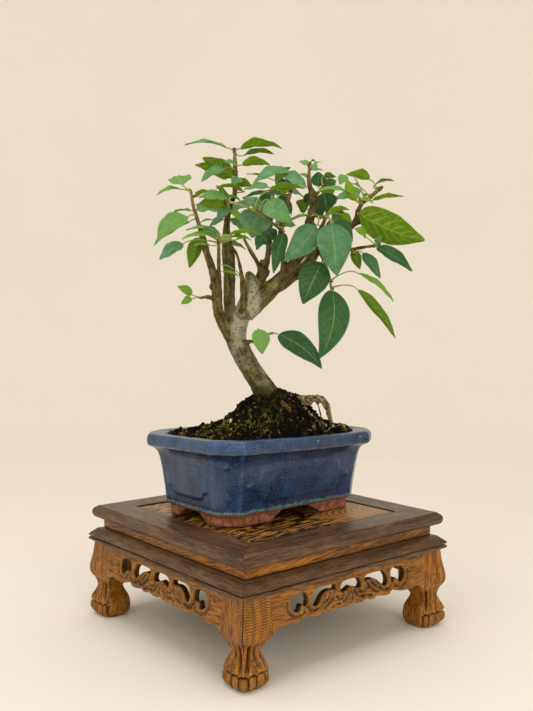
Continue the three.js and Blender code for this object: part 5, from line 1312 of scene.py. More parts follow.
# Points [u, w, h, radius]: u right, w back, h up from the stand's top, before the tree's turn.
WOOD = {
    "trunk": [
        [11.9, 8, 96.6, 17], [5.8, 7, 109.8, 13.2], [-2.7, 6, 123.9, 11], [-13.8, 5, 141.1, 10.1],
        [-22.8, 4, 157.2, 10.2], [-28.2, 3, 171.2, 10.4], [-25.2, 2, 187.2, 9.2], [-19.2, 1, 201.2, 8.8],
        [-13.2, 1, 215.2, 8.3], [-13.2, 2, 228.2, 6.6], [-16.7, 3, 237.3, 2.6],
    ],
    "left": [
        [-26.2, 3, 163.2, 8], [-35.1, 0, 175.3, 6.2], [-42.4, -4, 188.2, 4.9], [-46.1, -9, 204, 5.1],
        [-46.4, -12, 218.6, 5.3], [-50.5, -16, 238, 3.5], [-56.7, -19, 257.3, 3.4], [-59, -20, 268, 2.6],
        [-62.7, -22, 280.4, 2.1],
    ],
    "stem": [
        [-26.3, 6, 183.2, 7], [-33.5, 9, 195.3, 6.2], [-35.1, 11, 211.5, 5.7], [-35.2, 13, 233.9, 6],
        [-35.2, 14, 254.2, 5.6], [-36.3, 15, 266.5, 3.6], [-37.4, 16, 284.9, 2.9], [-35.3, 16, 301.2, 2.8],
        [-30.2, 16, 315.4, 2.7],
    ],
    "stub_knob": [[-8.2, 3, 213.3, 6], [-4.2, 4, 228.3, 5.4], [-0.7, 5, 239.4, 5.2], [0.1, 5, 249.5, 4.2]],
    "stub_twig": [
        [-3.2, 2, 239.2, 2.4], [-7.2, -1, 247, 2], [-14.1, -4, 258.7, 1.8], [-20, -6, 269.4, 1.4],
    ],
    "front_twig": [
        [-22.1, -2, 191.2, 4.2], [-20.6, -8, 206, 3.1], [-20.4, -10, 219.7, 3.4], [-22.8, -12, 237.3, 1.6],
        [-26.7, -13, 253, 1.4], [-33.5, -13, 263.8, 1.1],
    ],
    "red_twig": [
        [-45.8, -13, 212.7, 3.6], [-44, -19, 224.2, 2.9], [-43.8, -23, 239.5, 1.9], [-43.7, -25, 250, 1.7],
    ],
    "main": [
        [-18.2, 0, 195.2, 8.5], [-8.2, -2, 204.1, 8.2], [3.8, -5, 215, 7.6], [16.6, -8, 228.7, 6.7],
        [28.4, -10, 243.9, 5.4], [38.2, -12, 257, 5], [44.6, -12, 270.8, 4.7], [44.6, -11, 285.6, 4.6],
        [48.1, -10, 300.5, 4], [48.2, -9, 310.5, 4.2], [45.5, -9, 318.4, 2.8],
    ],
    "second": [
        [12.7, -4, 221, 5.5], [25.9, 4, 229.3, 4.6], [41.1, 9, 241.7, 4.3], [55.4, 12, 260.1, 4],
        [69.6, 12, 272.3, 3.4], [83.4, 8, 279.9, 3.1], [90.8, 2, 288.2, 2.9], [92.9, -2, 296.7, 2.6],
    ],
    "elbow": [[88.1, 5, 284.6, 2.7], [96.7, 1, 287.1, 2]],
    "side_twig": [
        [65.4, 10, 267, 2.2], [75.8, 2, 259.2, 1.9], [87.1, -5, 259.1, 1.8], [98.6, -8, 260.8, 1.6],
        [108.9, -9, 262.2, 1.5],
    ],
    "middle": [
        [18.6, -6, 230.8, 4.4], [19.8, 0, 246.1, 3.4], [17.3, 3, 263.3, 3.1], [17.3, 4, 281.5, 3.2],
        [20.3, 3, 296.4, 2.8],
    ],
    "brown_twig": [
        [-1.2, 4, 223.3, 2.2], [9.7, -5, 230.8, 1.7], [22.4, -14, 242.1, 1.5], [32.1, -18, 250.6, 1.2],
    ],
    "knot_twig": [[47.7, -9, 308.6, 2.6], [52.5, -11, 313.2, 1.8], [56.8, -6, 318.9, 1.3]],
    "stub_left": [[-45.1, -9, 206.9, 2.8], [-51.5, -8, 210.9, 2.5], [-56.6, -7, 211.9, 2.2]],
    "stub_trunk": [[-20.1, -2, 167.3, 2.4], [-10.5, -9, 168.6, 1.5]],
    "back_left": [
        [-34.6, 12, 209.5, 4.2], [-37.3, 26, 226.4, 3.2], [-41, 38, 250, 2.6], [-42.5, 47, 276, 2],
        [-40.7, 52, 297.7, 1.4],
    ],
    "back_mid": [
        [-12.2, 4, 217.3, 5], [-2.3, 18, 234.2, 3.8], [3.9, 34, 256.9, 3], [6, 46, 282.2, 2.5],
        [8.1, 54, 308.6, 1.9], [10.3, 58, 328.4, 1.3],
    ],
    "back_right": [
        [35, 6, 239.5, 3.8], [42.8, 22, 248.8, 3], [50.7, 36, 266.5, 2.6], [60.8, 47, 288.6, 2.1],
        [69.8, 54, 310.7, 1.5],
    ],
}
ROOTS = {
    "root_right": [
        [15.9, 7, 106.8, 9], [31.9, 4, 109, 6.2], [39.7, 0, 108.4, 5], [47.5, -3, 111.2, 3.6],
        [55.4, -5, 110.8, 3.4], [61.3, -5, 104.9, 3.2], [65.3, -4, 93.9, 2.7], [67.4, -3, 81.8, 2.2],
        [69.5, -2, 69.8, 1.5],
    ],
    "root_strand": [
        [50.5, -4, 110.8, 1.4], [54.2, -7, 103.1, 1], [56.2, -7, 93.2, 1], [56.8, -6, 80.2, 0.9],
    ],
    "root_front": [
        [7.8, -2, 111.6, 6.5], [16.5, -14, 106.7, 3.6], [23.2, -22, 100.2, 3], [28.8, -28, 91.7, 2],
    ],
    "root_left": [[-2.2, 2, 109.2, 7], [-14.1, -2, 101.6, 4.8], [-26, -5, 92, 3.2], [-37.7, -8, 80.5, 2]],
    "root_back": [[7.9, 14, 108.1, 7], [12.1, 28, 99.6, 4.6], [18.5, 40, 89, 3.2], [27.2, 50, 75.2, 2]],
    "root_back_left": [
        [-2.3, 12, 106.3, 6.5], [-14.6, 24, 97, 4], [-25.2, 34, 85.5, 2.8], [-33.9, 42, 72, 1.8],
    ],
    "root_thin": [
        [35.7, 0, 107.4, 2.6], [41.3, -8, 100.2, 2], [53, -11, 89.7, 1.3], [66.2, -6, 83.2, 1.2],
        [78.9, 3, 84.1, 1.1], [82.2, 6, 76.7, 0.9],
    ],
}


def placed(points):
    """Points [u, w, h] of the tree put at its place on the stand."""
    u, w, h = np.asarray(points, float).T
    cos, sin = math.cos(TREE_TURN), math.sin(TREE_TURN)
    return np.stack([cos * u - sin * w, sin * u + cos * w, h + STAND_HEIGHT], axis=1)


def smooth_route(points, spacing):
    """Points and radii along a smooth curve through [u, w, h, radius] points."""
    rows = np.array(points, float)
    ends = np.vstack([2 * rows[0] - rows[1], rows, 2 * rows[-1] - rows[-2]])
    span = np.linalg.norm(np.diff(rows[:, :3], axis=0), axis=1).sum()
    steps = max(2, math.ceil(span / spacing))
    at = np.linspace(0, len(rows) - 1, steps + 1)
    k = np.minimum(at.astype(int), len(rows) - 2)
    share = (at - k)[:, None]
    p0, p1, p2, p3 = (ends[k + n, :3] for n in range(4))
    d0, d1, d2 = (np.sqrt(np.linalg.norm(step, axis=1))[:, None] for step in (p1 - p0, p2 - p1, p3 - p2))
    m1 = ((p1 - p0) / d0 - (p2 - p0) / (d0 + d1) + (p2 - p1) / d1) * d1
    m2 = ((p2 - p1) / d1 - (p3 - p1) / (d1 + d2) + (p3 - p2) / d2) * d1
    t2, t3 = share ** 2, share ** 3
    route = ((2 * t3 - 3 * t2 + 1) * p1 + (t3 - 2 * t2 + share) * m1
             + (3 * t2 - 2 * t3) * p2 + (t3 - t2) * m2)
    return route, np.interp(at, np.arange(len(rows)), rows[:, 3])


def frames_along(route):
    """Unit tangents and two crossing axes that don't twist along a route."""
    tangents = np.gradient(route, axis=0)
    tangents /= np.linalg.norm(tangents, axis=1, keepdims=True)
    first = np.cross(tangents[0], [0.0, 0.0, 1.0] if abs(tangents[0][2]) < 0.9 else [1.0, 0.0, 0.0])
    axes = [first / np.linalg.norm(first)]
    for tangent in tangents[1:]:
        axis = axes[-1] - tangent * (axes[-1] @ tangent)
        axes.append(axis / np.linalg.norm(axis))
    axes = np.array(axes)
    return tangents, axes, np.cross(tangents, axes)


def distance_along(route):
    """How far along a route each of its points lies."""
    return np.r_[0, np.cumsum(np.linalg.norm(np.diff(route, axis=0), axis=1))]


def tube(route, radii, sides):
    """A closed round tube: its points, its faces, and bark coordinates [along, across, across]."""
    _, axes, others = frames_along(route)
    angles = np.linspace(0, 2 * math.pi, sides, endpoint=False)
    cos, sin = np.cos(angles)[None, :, None], np.sin(angles)[None, :, None]
    radii = np.asarray(radii).reshape(len(route), 1, 1)
    rings = route[:, None] + radii * (cos * axes[:, None] + sin * others[:, None])
    along = distance_along(route)
    skin = np.broadcast_arrays(along[:, None], (radii * cos)[..., 0], (radii * sin)[..., 0])
    return rings.reshape(-1, 3), capped_rings(len(route), sides), np.stack(skin, axis=2).reshape(-1, 3)


def ringed(route, radii, seed):
    """Radii with the swollen rings and knots that spurs and twigs have."""
    along = distance_along(route)
    flat = np.column_stack([along, np.full(len(along), 7.0 * seed), np.zeros(len(along))])
    thin = smooth_step(radii, 6.5, 3)
    return radii * (1 + thin * (0.13 * lumps(flat, 2.2, 91) + 0.15 * lumps(flat, 8, 92)))


# Places where a cut or fallen twig left a knob: [u, w, h, radius].
KNOBS = [
    [-20.5, -6, 196, 5.6], [-16, -5.5, 167, 2.4], [-33, -4, 167, 3.6], [9, -8, 226, 4.2],
    [24.5, -12, 240, 4.6], [33, -14, 250.5, 3.6], [-37, 13, 262, 4.6], [-48.6, -12, 222, 4.8],
    [-58.6, -22.5, 262, 3.4], [-0.6, 2, 236, 6.2], [43.5, -15, 284, 3.6], [47.5, -13, 306, 3.6],
    [-37.8, 14, 290, 2.6], [18, 1, 273, 3.2], [87, 4.5, 284, 3.0], [2, -5, 112, 4], [-12.5, 0, 150, 4.5],
    [44.5, -2, 108.5, 4.6], [-47.8, -13, 230, 4.6], [-20.3, -11.2, 224, 3.5],
]


def tree_skin():
    """The whole tree's wood as one smooth skin, and its nearest stem's data at each point."""
    parts, centres = [], []
    for seed, (name, points) in enumerate({**WOOD, **ROOTS}.items()):
        route, radii = smooth_route(points, 1.5)
        radii = ringed(route, radii, seed)
        widest = float(radii.max())
        parts.append(tube(placed(route), radii + 0.1, 22 if widest > 6 else 12))
        _, axes, others = frames_along(placed(route))
        along = distance_along(route)
        centres.append(np.column_stack([placed(route), radii, along + 60 * seed, axes, others,
                                        np.full(len(route), name == "root_right" or name == "root_thin")]))
    for u, w, h, radius in KNOBS:
        points, faces = ball(radius)
        points *= (1 + 0.264 * lumps(points + [u, w, h], 2.2, 93))[:, None]
        parts.append((points + placed([[u, w, h]]), faces))
    points, faces = merged([part[:2] for part in parts])
    grown = solid_of("grown_wood", points, faces)
    skin = grown.modifiers.new("skin", "REMESH")
    skin.mode, skin.voxel_size = "VOXEL", WOOD_VOXEL * MM
    mesh = applied(grown)
    points = mesh_points(mesh)
    centres = np.vstack(centres)
    stem = np.zeros((len(points), centres.shape[1]))
    for start in range(0, len(points), 4000):
        block = points[start:start + 4000]
        away = np.linalg.norm(block[:, None] - centres[None, :, :3], axis=2) - centres[None, :, 3]
        stem[start:start + 4000] = centres[away.argmin(1)]
    return mesh, points, stem


def tree_bark():
    """Thin apple bark: olive grey with pale worn patches and dark pores on the trunk, red-brown on
    twigs, pale on bare roots, damp and green at the foot."""
    material, add = new_finish("crabapple_bark")
    form, pale, scar, young, root, damp = (
        add("Attribute", attribute_name=name).outputs["Fac"]
        for name in ("form", "pale", "scar", "young", "root", "damp"))
    skin = add("Attribute", attribute_name="bark").outputs["Vector"]
    place = add("TexCoord").outputs["Object"]
    place = add("VectorMath", {0: place, "Scale": 1 / MM}, operation="SCALE")
    tone = add("Mapping", {"Vector": skin, "Scale": (1 / 13, 1 / 4, 1 / 4)})
    tone = add("TexNoise", {"Vector": tone, "Scale": 1, "Detail": 5, "Roughness": 0.68})
    colour = add("ValToRGB", {"Fac": tone}, stops=[(0.3, "#261e06"), (0.7, "#858048"), (0.5, "#554d20")])
    patch = add("TexNoise", {"Vector": place, "Scale": 1 / 15, "Detail": 3, "Roughness": 0.65})
    patch = add("Math", {0: patch, 1: pale}, operation="ADD")
    patch = add("MapRange", {"Value": patch, "From Min": 0.62, "From Max": 1.0, "To Max": 0.66})
    colour = add("Mix", {"Factor": patch, "A": colour, "B": "#b4b397"})
    brown = add("TexNoise", {"Vector": place, "Scale": 1 / 5, "Detail": 4, "Roughness": 0.7})
    brown_tone = add("ValToRGB", {"Fac": tone}, stops=[(0.34, "#281b09"), (0.66, "#6c5222")])
    joint = add("MapRange", {"Value": form, "From Min": 0.02, "From Max": -0.12, "To Max": 0.3})
    joint = add("Math", {0: joint, 1: scar}, operation="MAXIMUM")
    brown = add("Math", {0: brown, 1: joint}, operation="ADD")
    brown = add("MapRange", {"Value": brown, "From Min": 0.62, "From Max": 0.78, "To Max": 0.75})
    colour = add("Mix", {"Factor": brown, "A": colour, "B": brown_tone})
    twig_tone = add("ValToRGB", {"Fac": tone}, stops=[
        (0.34, "#2a210e"), (0.68, "#867a38"), (0.5, "#574c1a")])
    colour = add("Mix", {"Factor": young, "A": colour, "B": twig_tone})
    # Pores: dark dots a millimetre or so across, 3 to 5 mm apart, drawn out round the stem.
    dots = add("Mapping", {"Vector": skin, "Scale": (1 / 2.9, 1 / 4.2, 1 / 4.2)})
    dots = add("TexVoronoi", {"Vector": dots, "Scale": 1, "Randomness": 1})
    dots = add("Math", {0: tone, 1: 0.8, 2: dots.outputs["Distance"]}, operation="MULTIPLY_ADD")
    pore = add("MapRange", {"Value": dots, "From Min": 0.69, "From Max": 0.57, "To Max": 0.9})
    colour = add("Mix", {"Factor": pore, "A": colour, "B": "#2a2013"})
    # Bare roots: cream, mottled with dark scurf.
    scurf = add("TexNoise", {"Vector": place, "Scale": 1 / 3.2, "Detail": 4, "Roughness": 0.7})
    root_tone = add("ValToRGB", {"Fac": scurf}, stops=[
        (0.4, "#2d240f"), (0.68, "#c6bb8a"), (0.53, "#80744a")])
    colour = add("Mix", {"Factor": root, "A": colour, "B": root_tone})
    moss = add("ValToRGB", {"Fac": brown}, stops=[(0.3, "#3c3a14"), (0.8, "#150e06")])
    colour = add("Mix", {"Factor": damp, "A": colour, "B": moss})
    wrinkles = add("Mapping", {"Vector": skin, "Scale": (1 / 0.9, 1 / 2.6, 1 / 2.6)})
    wrinkles = add("TexNoise", {"Vector": wrinkles, "Scale": 1, "Detail": 4, "Roughness": 0.7})
    height = add("Math", {0: wrinkles, 1: pore}, operation="ADD")
    relief = add("Bump", {"Height": height, "Strength": 0.6, "Distance": 0.5 * MM})
    shader = add("BsdfPrincipled", {"Base Color": colour, "Roughness": 0.68, "Specular IOR Level": 0.22,
                                    "Normal": relief})
    add("OutputMaterial", {"Surface": shader})
    return material


wood_mesh, wood_points, stem = tree_skin()
radius, along, bare_root = stem[:, 3], stem[:, 4], stem[:, 11]
from_axis = wood_points - stem[:, :3]
bark_place = np.column_stack([along + (from_axis * np.cross(stem[:, 5:8], stem[:, 8:11])).sum(1),
                              (from_axis * stem[:, 5:8]).sum(1), (from_axis * stem[:, 8:11]).sum(1)])
normals = np.zeros(len(wood_points) * 3, np.float32)
wood_mesh.vertices.foreach_get("normal", normals)
rough = 0.32 * lumps(wood_points, 5, 94) + 0.24 * lumps(wood_points, 2.4, 95)
rough = np.clip(radius / 6, 0.25, 1) * rough
height = wood_points[:, 2] - STAND_HEIGHT
foot = smooth_step(height + 3 * lumps(wood_points, 7, 85), 131, 118)
scar = np.zeros(len(wood_points))
for u, w, h, size in KNOBS:
    away = np.linalg.norm(wood_points - placed([[u, w, h]]), axis=1)
    scar = np.maximum(scar, smooth_step(away, size * 1.75, size * 0.95) * (1 - bare_root))
rough += scar * (0.55 * lumps(wood_points, 2.6, 89) + 0.3 * lumps(wood_points, 1.5, 88))
rough += bare_root * (1.0 * lumps(wood_points, 5, 87) + 0.6 * lumps(wood_points, 2.5, 86))
rough += foot * (0.8 * lumps(wood_points, 6, 96) + 0.5 * lumps(wood_points, 3, 97))
wood_points = wood_points + normals.reshape(-1, 3) * rough[:, None]
move_points(wood_mesh, wood_points)
evener = shown("evener", wood_mesh)
evener.modifiers.new("even", "SMOOTH").iterations = 2
wood_mesh = applied(evener)
wood_mesh.name = "tree_wood"
set_attribute(wood_mesh, "bark", bark_place)
set_attribute(wood_mesh, "scar", 0.26 * scar)
set_attribute(wood_mesh, "young", smooth_step(radius, 5.5, 1.5) * (1 - bare_root) * 0.9)
set_attribute(wood_mesh, "damp", np.maximum(foot * smooth_step(lumps(wood_points, 7, 98), -1.1, -0.3),
                                            smooth_step(height, 108, 98)) * (1 - bare_root))
across = math.cos(TREE_TURN) * wood_points[:, 0] + math.sin(TREE_TURN) * wood_points[:, 1]
side = smooth_step(across, -1, -8) * smooth_step(across, -38, -28)
crotch = np.exp(-((height - 200) / 34) ** 2) * side * smooth_step(radius, 4.5, 6.5)
worn = 0.15 * np.exp(-((height - 150) / 20) ** 2) * smooth_step(radius, 8, 11)
worn = 0.13 * smooth_step(radius, 4, 8) + worn
set_attribute(wood_mesh, "pale", 0.48 * crotch + worn - 0.05)
set_attribute(wood_mesh, "root", 0.95 * bare_root)
store_form(wood_mesh, 4)
bark_finish = tree_bark()
piece("tree_wood", wood_mesh, bark_finish, "bark", "tree", sharp=70)

# Hair roots: pale threads that run over the soil from the bare root's end. [x, y] points.
HAIR_ROOTS = [
    [(50, -45), (45, -49), (38, -50), (30, -48.5)], [(52, -46), (59, -50), (67, -49), (74, -44)],
    [(48, -42), (42, -46), (36, -45), (31, -47)], [(54, -44), (62, -46), (71, -43)],
    [(20, -44), (27, -47), (35, -48), (41, -46)], [(44, -38), (52, -40), (60, -41)],
]
hairs = []
for line in HAIR_ROOTS:
    flat = np.array(line, float)
    rise = mound_height(flat[:, 0] - POT_CENTRE[0], flat[:, 1] - POT_CENTRE[1]) + POT_BASE + 0.7
    route, thickness = smooth_route([[*at, z, 0.42] for at, z in zip(flat, rise)], 1.0)
    hairs.append(tube(route, thickness * (1 + 0.25 * np.sin(np.arange(len(route)) * 1.7)), 6))
hair_mesh = mesh_of("hair_roots", *merged([part[:2] for part in hairs]))
set_attribute(hair_mesh, "bark", np.vstack([part[2] for part in hairs]))
set_attribute(hair_mesh, "root", np.ones(len(hair_mesh.vertices)))
hair_mesh.materials.append(bark_finish)
on_soil("hair_roots", hair_mesh)

# ---------------------------------------------------------------- leafy sprays
# Spurs and young shoots, each with a bud at its end and a few thin leaves on slender stalks.
# A leaf is a toothed oval with a drawn-out point, blue-green above with a painted waxy sheen, paler with
# raised veins below; young ones are yellow-green and let light through, their colour also painting in that
# light.
# Each spray: its shoot as [u, w, h, radius] points, and its leaves as [base u, w, h, tip u, w, h,
# face is the way the upper side looks, in degrees from up (0) to the
# front (90); arch is the rise over the length; tone runs from an old leaf (0) to a young one (1), and is
# set higher on some leaves in shade, painting light onto them.
SPRAYS = {
    "stem": (
        [[-29.9, 16, 315.8, 2.6], [-29.1, 16, 324.9, 2.5], [-29.1, 16, 339.1, 2.2],
         [-30.1, 16, 359.4, 1.5]],
        [[-38, 12, 362, -79, 2, 362, 17, 22, 0.1, 0.55], [-24, 12, 361, 18, 2, 359, 18, -18, 0.12, 0.95],
         [-21, 22, 356, 11, 30, 359, 14, -14, 0.11, 0.8], [-28, 8, 344, -41, 2, 346, 9, 45, 0.1, 0.5],
         [-22, 8, 344, 7, -4, 340, 15, -28, 0.15, 0.85], [-39, 4, 340, -62, -6, 324.5, 15, 40, 0.11, 0.5],
         [-32, 14, 333, -62, 8, 351, 19, -50, 0.1, 0.8], [-37, 22, 334, -71, 28, 348, 17, -45, 0.1, 0.85],
         [-24, 4, 330, -32, -2, 322.5, 12, 50, 0.08, 0.45], [-27, 18, 329, -13, 26, 326, 11, -60, 0.1, 0.8],
         [-21, 2, 317, -49, -8, 317, 11, -15, 0.15, 0.9]],
    ),
    "stem_low": (
        [[-33.7, 14, 298.9, 1.6], [-37.7, 9, 303.2, 1.8], [-38.9, 5, 306.7, 1.2]],
        [[-38, -2, 310, -64, -12, 308, 18, 45, 0.08, 0.55], [-39, 8, 304, -65, 2, 305, 18, -45, 0.07, 0.95],
         [-41, 2, 291, -33, 6, 302, 9, 40, 0.1, 0.4], [-24, 4, 308, -38, -2, 311, 11, 30, 0.1, 0.6],
         [-35, 0, 301, -46, -6, 287, 13, 45, 0.08, 0.36], [-33, 0, 298, -21, -8, 283, 10, 30, 0.1, 0.9]],
    ),
    "left": (
        [[-63.1, -22, 281.7, 2], [-65.6, -23, 290, 1.8], [-68.1, -24, 298.5, 1.6],
         [-70.2, -25, 311.7, 1.2]],
        [[-78, -26, 318.5, -85, -12, 329, 24, 40, 0.06, 0.6],
         [-79, -24, 314.5, -102, -34, 307, 13, 22, 0.12, 0.6],
         [-68, -22, 307, -54, -16, 315, 9, -30, 0.07, 0.9],
         [-65, -20, 295, -54, -14, 297, 13, 50, 0.1, 0.6], [-73, -10, 296, -90, 2, 296, 12, 12, 0.07, 0.6],
         [-73, -28, 288, -101, -38, 264, 24, 48, 0.08, 0.56, 0.08],
         [-60, -28, 283, -46, -24, 285, 9, 15, 0.08, 0.7],
         [-73, -14, 285, -107, -20, 261, 14, 30, 0.07, 0.6]],
    ),
    "red_shoot": (
        [[-43.7, -25, 251.4, 1.6], [-43.6, -26, 257.7, 1.6], [-43.7, -27, 265.3, 1.3]],
        [[-46, -30, 272, -74, -42, 273, 13, 20, 0.12, 0.6],
         [-45, -36, 267, -77, -50, 264, 13, 28, 0.11, 0.7],
         [-63, -18, 269, -73, -14, 240, 15, -40, 0.08, 0.75],
         [-77, -38, 261, -98, -46, 245, 17, 45, 0.08, 0.45],
         [-50, -42, 259, -65, -52, 258, 9, 30, 0.08, 0.8], [-41, -26, 263, -30, -20, 271, 12, 40, 0.1, 0.6],
         [-32, -36, 270, -2, -46, 268, 12, -14, 0.09, 0.95],
         [-34, -33, 267, -12, -41, 264, 10, 25, 0.1, 0.9],
         [-27, -26, 266, -12, -22, 266, 11, 14, 0.12, 0.8]],
    ),
    "front_twig": (
        [[-21.5, -12, 226.5, 1.2], [-22.9, -15, 231.7, 1.1]],
        [[-28, -20, 237, -44, -26, 242, 4, 30, 0.1, 0.9],
         [-25, -20, 232, -42, -22, 236, 4.5, 40, 0.1, 0.9]],
    ),
    "stub": (
        [[-57.2, -7, 211.9, 1.8], [-60.4, -8, 211.4, 1.1]],
        [[-71, -10, 214, -85, -14, 222, 11, 55, 0.1, 0.95], [-71, -8, 210, -82, -6, 205, 9, 60, 0.1, 0.9]],
    ),
    "long_shoot": (
        [[17.7, -1, 277.9, 1.7], [0.6, -20, 288, 1.2], [-16, -26, 297.2, 1.1], [-35, -22, 303.6, 0.9]],
        [[-1, -22, 296, -21, -18, 307, 15, 50, 0.07, 0.45], [19, -18, 274, 9, -28, 234, 15, 62, 0.1, 0.15],
         [-2, -12, 297, -12, -6, 270, 33, 72, 0.08, 0.42, 0.1],
         [4, -32, 303, 26, -42, 280, 24, 62, 0.1, 0.45, 0.12],
         [4, -36, 311, 39, -30, 314.5, 12, -25, 0.09, 0.75]],
    ),
    "middle": (
        [[20.7, 3, 298, 2.6], [22.8, 3, 305.4, 2.2], [26.3, 2, 317, 1.8]],
        [[24, -12, 334, -10, -28, 319, 19, 40, 0.14, 0.45], [19, -18, 331, 41, -24, 316, 16, 50, 0.07, 0.5],
         [28, -6, 322.5, 12, -12, 323.5, 12, 35, 0.07, 0.3], [1, 4, 331, -18, 10, 335, 10, 12, 0.07, 0.7],
         [23, -8, 314.5, 14, -10, 316, 9, -45, 0.1, 0.95], [21, 2, 312.5, -22, -2, 310, 18, 25, 0.07, 0.1]],
    ),
    "main_tip": (
        [[45.1, -9, 318.4, 2.2], [43.8, -9, 326.5, 1.9], [44.5, -9, 340.3, 1.6]],
        [[43, -4, 341, 35, 4, 347, 9, 40, 0.1, 0.6], [45, 0, 344, 51, 6, 348, 6, -30, 0.1, 0.8],
         [46, -14, 339, 51, -18, 334, 9, 55, 0.1, 0.55], [50, 4, 344, 57, 10, 347, 6, 20, 0.1, 0.8],
         [51, -8, 336, 58, -6, 336, 7, 25, 0.08, 0.75], [42, 4, 331, 35, 14, 336, 9, 20, 0.1, 0.7]],
    ),
    "knot": (
        [[56.9, -5, 318.2, 1.2], [58.5, -3, 320.4, 1.6]],
        [[54, 4, 321.5, 54, 8, 337, 16, 55, 0.1, 0.15], [59, 4, 319, 72, 8, 329, 15, 55, 0.1, 0.2],
         [59, 6, 316, 63, 14, 298, 24, 70, 0.1, 0.1], [59, 0, 331, 71, -2, 330, 11, -25, 0.08, 0.75]],
    ),
    "main_back": (
        [[46.4, -6, 304.1, 1.8], [45.7, 0, 306, 1.8]],
        [[44, 6, 316, 43, 12, 305, 9, 60, 0.1, 0.15], [52, 16, 310, 58, 20, 292, 12, 65, 0.1, 0.1],
         [43, 8, 300, 32, 14, 309, 16, -60, 0.1, 0.7]],
    ),
    "main_front": (
        [[47, -13, 294.2, 2], [52.6, -18, 289.1, 1.6], [59.3, -19, 289, 1.4]],
        [[64, -36, 280, 68, -48, 230, 34, 82, 0.07, 0.42],
         [50, -28, 279, 19, -36, 245, 27, 75, 0.07, 0.36, -0.06],
         [61, -20, 291, 83, -24, 295, 11, -25, 0.14, 0.85],
         [75, -12, 292, 86, -10, 284, 10, -45, 0.1, 0.85], [67, -24, 283, 85, -26, 264, 20, 70, 0.08, 0.15],
         [46, -20, 290, 17, -24, 276, 13, 15, 0.13, 0.8]],
    ),
    "right_end": (
        [[93.3, -2, 298.1, 2.4], [96.2, -3, 303.5, 2.2], [105.2, -3, 310.9, 2.1], [113.9, -3, 318.3, 1.8]],
        [[103, -12, 326, 80, -20, 329, 15, -28, 0.14, 0.9],
         [108, -4, 321.5, 129, 2, 327, 10, -15, 0.11, 0.85],
         [80, -8, 331, 74, -10, 321.5, 11, 50, 0.1, 0.6], [84, -18, 312, 80, -16, 326, 10, -60, 0.1, 0.95],
         [84, -22, 310, 50, -34, 311, 13, 30, 0.11, 0.7], [92, -14, 310, 84, -12, 318.5, 11, 45, 0.1, 0.6],
         [94, 6, 322.5, 87, 12, 326, 7, 20, 0.1, 0.5], [90, -18, 305, 75, -26, 309, 10, -30, 0.1, 0.95],
         [94, -16, 307, 106, -18, 302, 9, 35, 0.08, 0.95],
         [106, -10, 306, 136, -14, 309, 12, -15, 0.07, 0.8],
         [100, 4, 312.5, 106, 10, 315, 7, 20, 0.1, 0.3]],
    ),
    "elbow": (
        [[98.2, 0, 287.4, 1.8], [99.7, -3, 288.6, 1.5]],
        [[92, -14, 293, 154, -28, 265, 35, -62, 0.08, 0.78, -0.07],
         [101, 0, 283, 124, 4, 265, 14, -50, 0.08, 0.8]],
    ),
    "side_tip": (
        [[110, -9, 262.4, 1.4], [111.7, -10, 263.1, 1.4]],
        [[98, -24, 269, 86, -28, 276, 17, 40, 0.1, 0.8], [109, -17, 263, 114, -20, 270, 9, 45, 0.1, 0.5],
         [110, -14, 260, 143, -24, 236, 17, 50, 0.08, 0.15]],
    ),
    "side_low": (
        [[87.1, -5, 256.6, 1.2], [87.4, -7, 254.5, 1.2]],
        [[96, -18, 254, 112, -24, 229, 13, 55, 0.08, 0.2], [87, -8, 258, 94, -10, 239, 11, -50, 0.1, 0.7]],
    ),
    "low_shoot": (
        [[56.1, 7, 255.7, 1.8], [60.2, -6, 244.6, 1.4], [63.6, -14, 232.3, 1.2], [65.1, -20, 220.3, 1.1]],
        [[55, -28, 244, 37, -36, 204, 31, 72, 0.08, 0.1],
         [66, -22, 218, 53, -28, 152, 32, 78, 0.07, 0.14, -0.1],
         [90, -30, 218, 125, -40, 171, 13, -35, 0.07, 0.7],
         [91, -24, 234, 124, -32, 206, 13, 20, 0.08, 0.84]],
    ),
    "trunk_shoot": (
        [[-9.4, -10, 168.8, 1.3], [-2.1, -14, 174.4, 1.1], [5.7, -16, 175.9, 0.9]],
        [[-6, -20, 180, -2, -24, 156, 18, 75, 0.08, 0.7, -0.05],
         [14, -18, 175, 56, -24, 142, 24, 65, 0.1, 0.02, -0.05]],
    ),
    "middle_side": (
        [[15.4, 2, 263.2, 1.8], [12.8, 3, 264.3, 1.5]],
        [[7, -2, 263, -2, -4, 265, 8, 45, 0.1, 0.2], [10, 12, 270, -2, 22, 284, 16, 45, 0.07, 0.2]],
    ),
    "back_left": (
        [[-40.6, 52.6, 298.4, 1.4], [-40.8, 56, 302.5, 1.3]],
        [[-45, 58, 305, -74, 66, 312, 20, 40, 0.08, 0.5], [-39, 60, 309, -52, 70, 334, 18, -30, 0.07, 0.7],
         [-34, 58, 305, -7, 70, 314.5, 19, 30, 0.08, 0.4], [-43, 64, 297, -64, 80, 286, 19, 40, 0.07, 0.35],
         [-37, 62, 297, -20, 74, 281, 16, 40, 0.07, 0.5]],
    ),
    "back_left_low": (
        [[-41.8, 45, 266.3, 1.5], [-42.6, 49, 269.8, 1.4]],
        [[-48, 50, 274, -69, 58, 290, 17, 30, 0.07, 0.5], [-36, 54, 270, -20, 66, 265, 16, 35, 0.07, 0.5]],
    ),
    "back_mid": (
        [[10.4, 58.8, 326.6, 1.3], [10.9, 62, 330.5, 1.2]],
        [[4, 64, 331, -22, 70, 329, 18, 35, 0.08, 0.5], [12, 64, 333, 28, 72, 354, 18, -30, 0.08, 0.7],
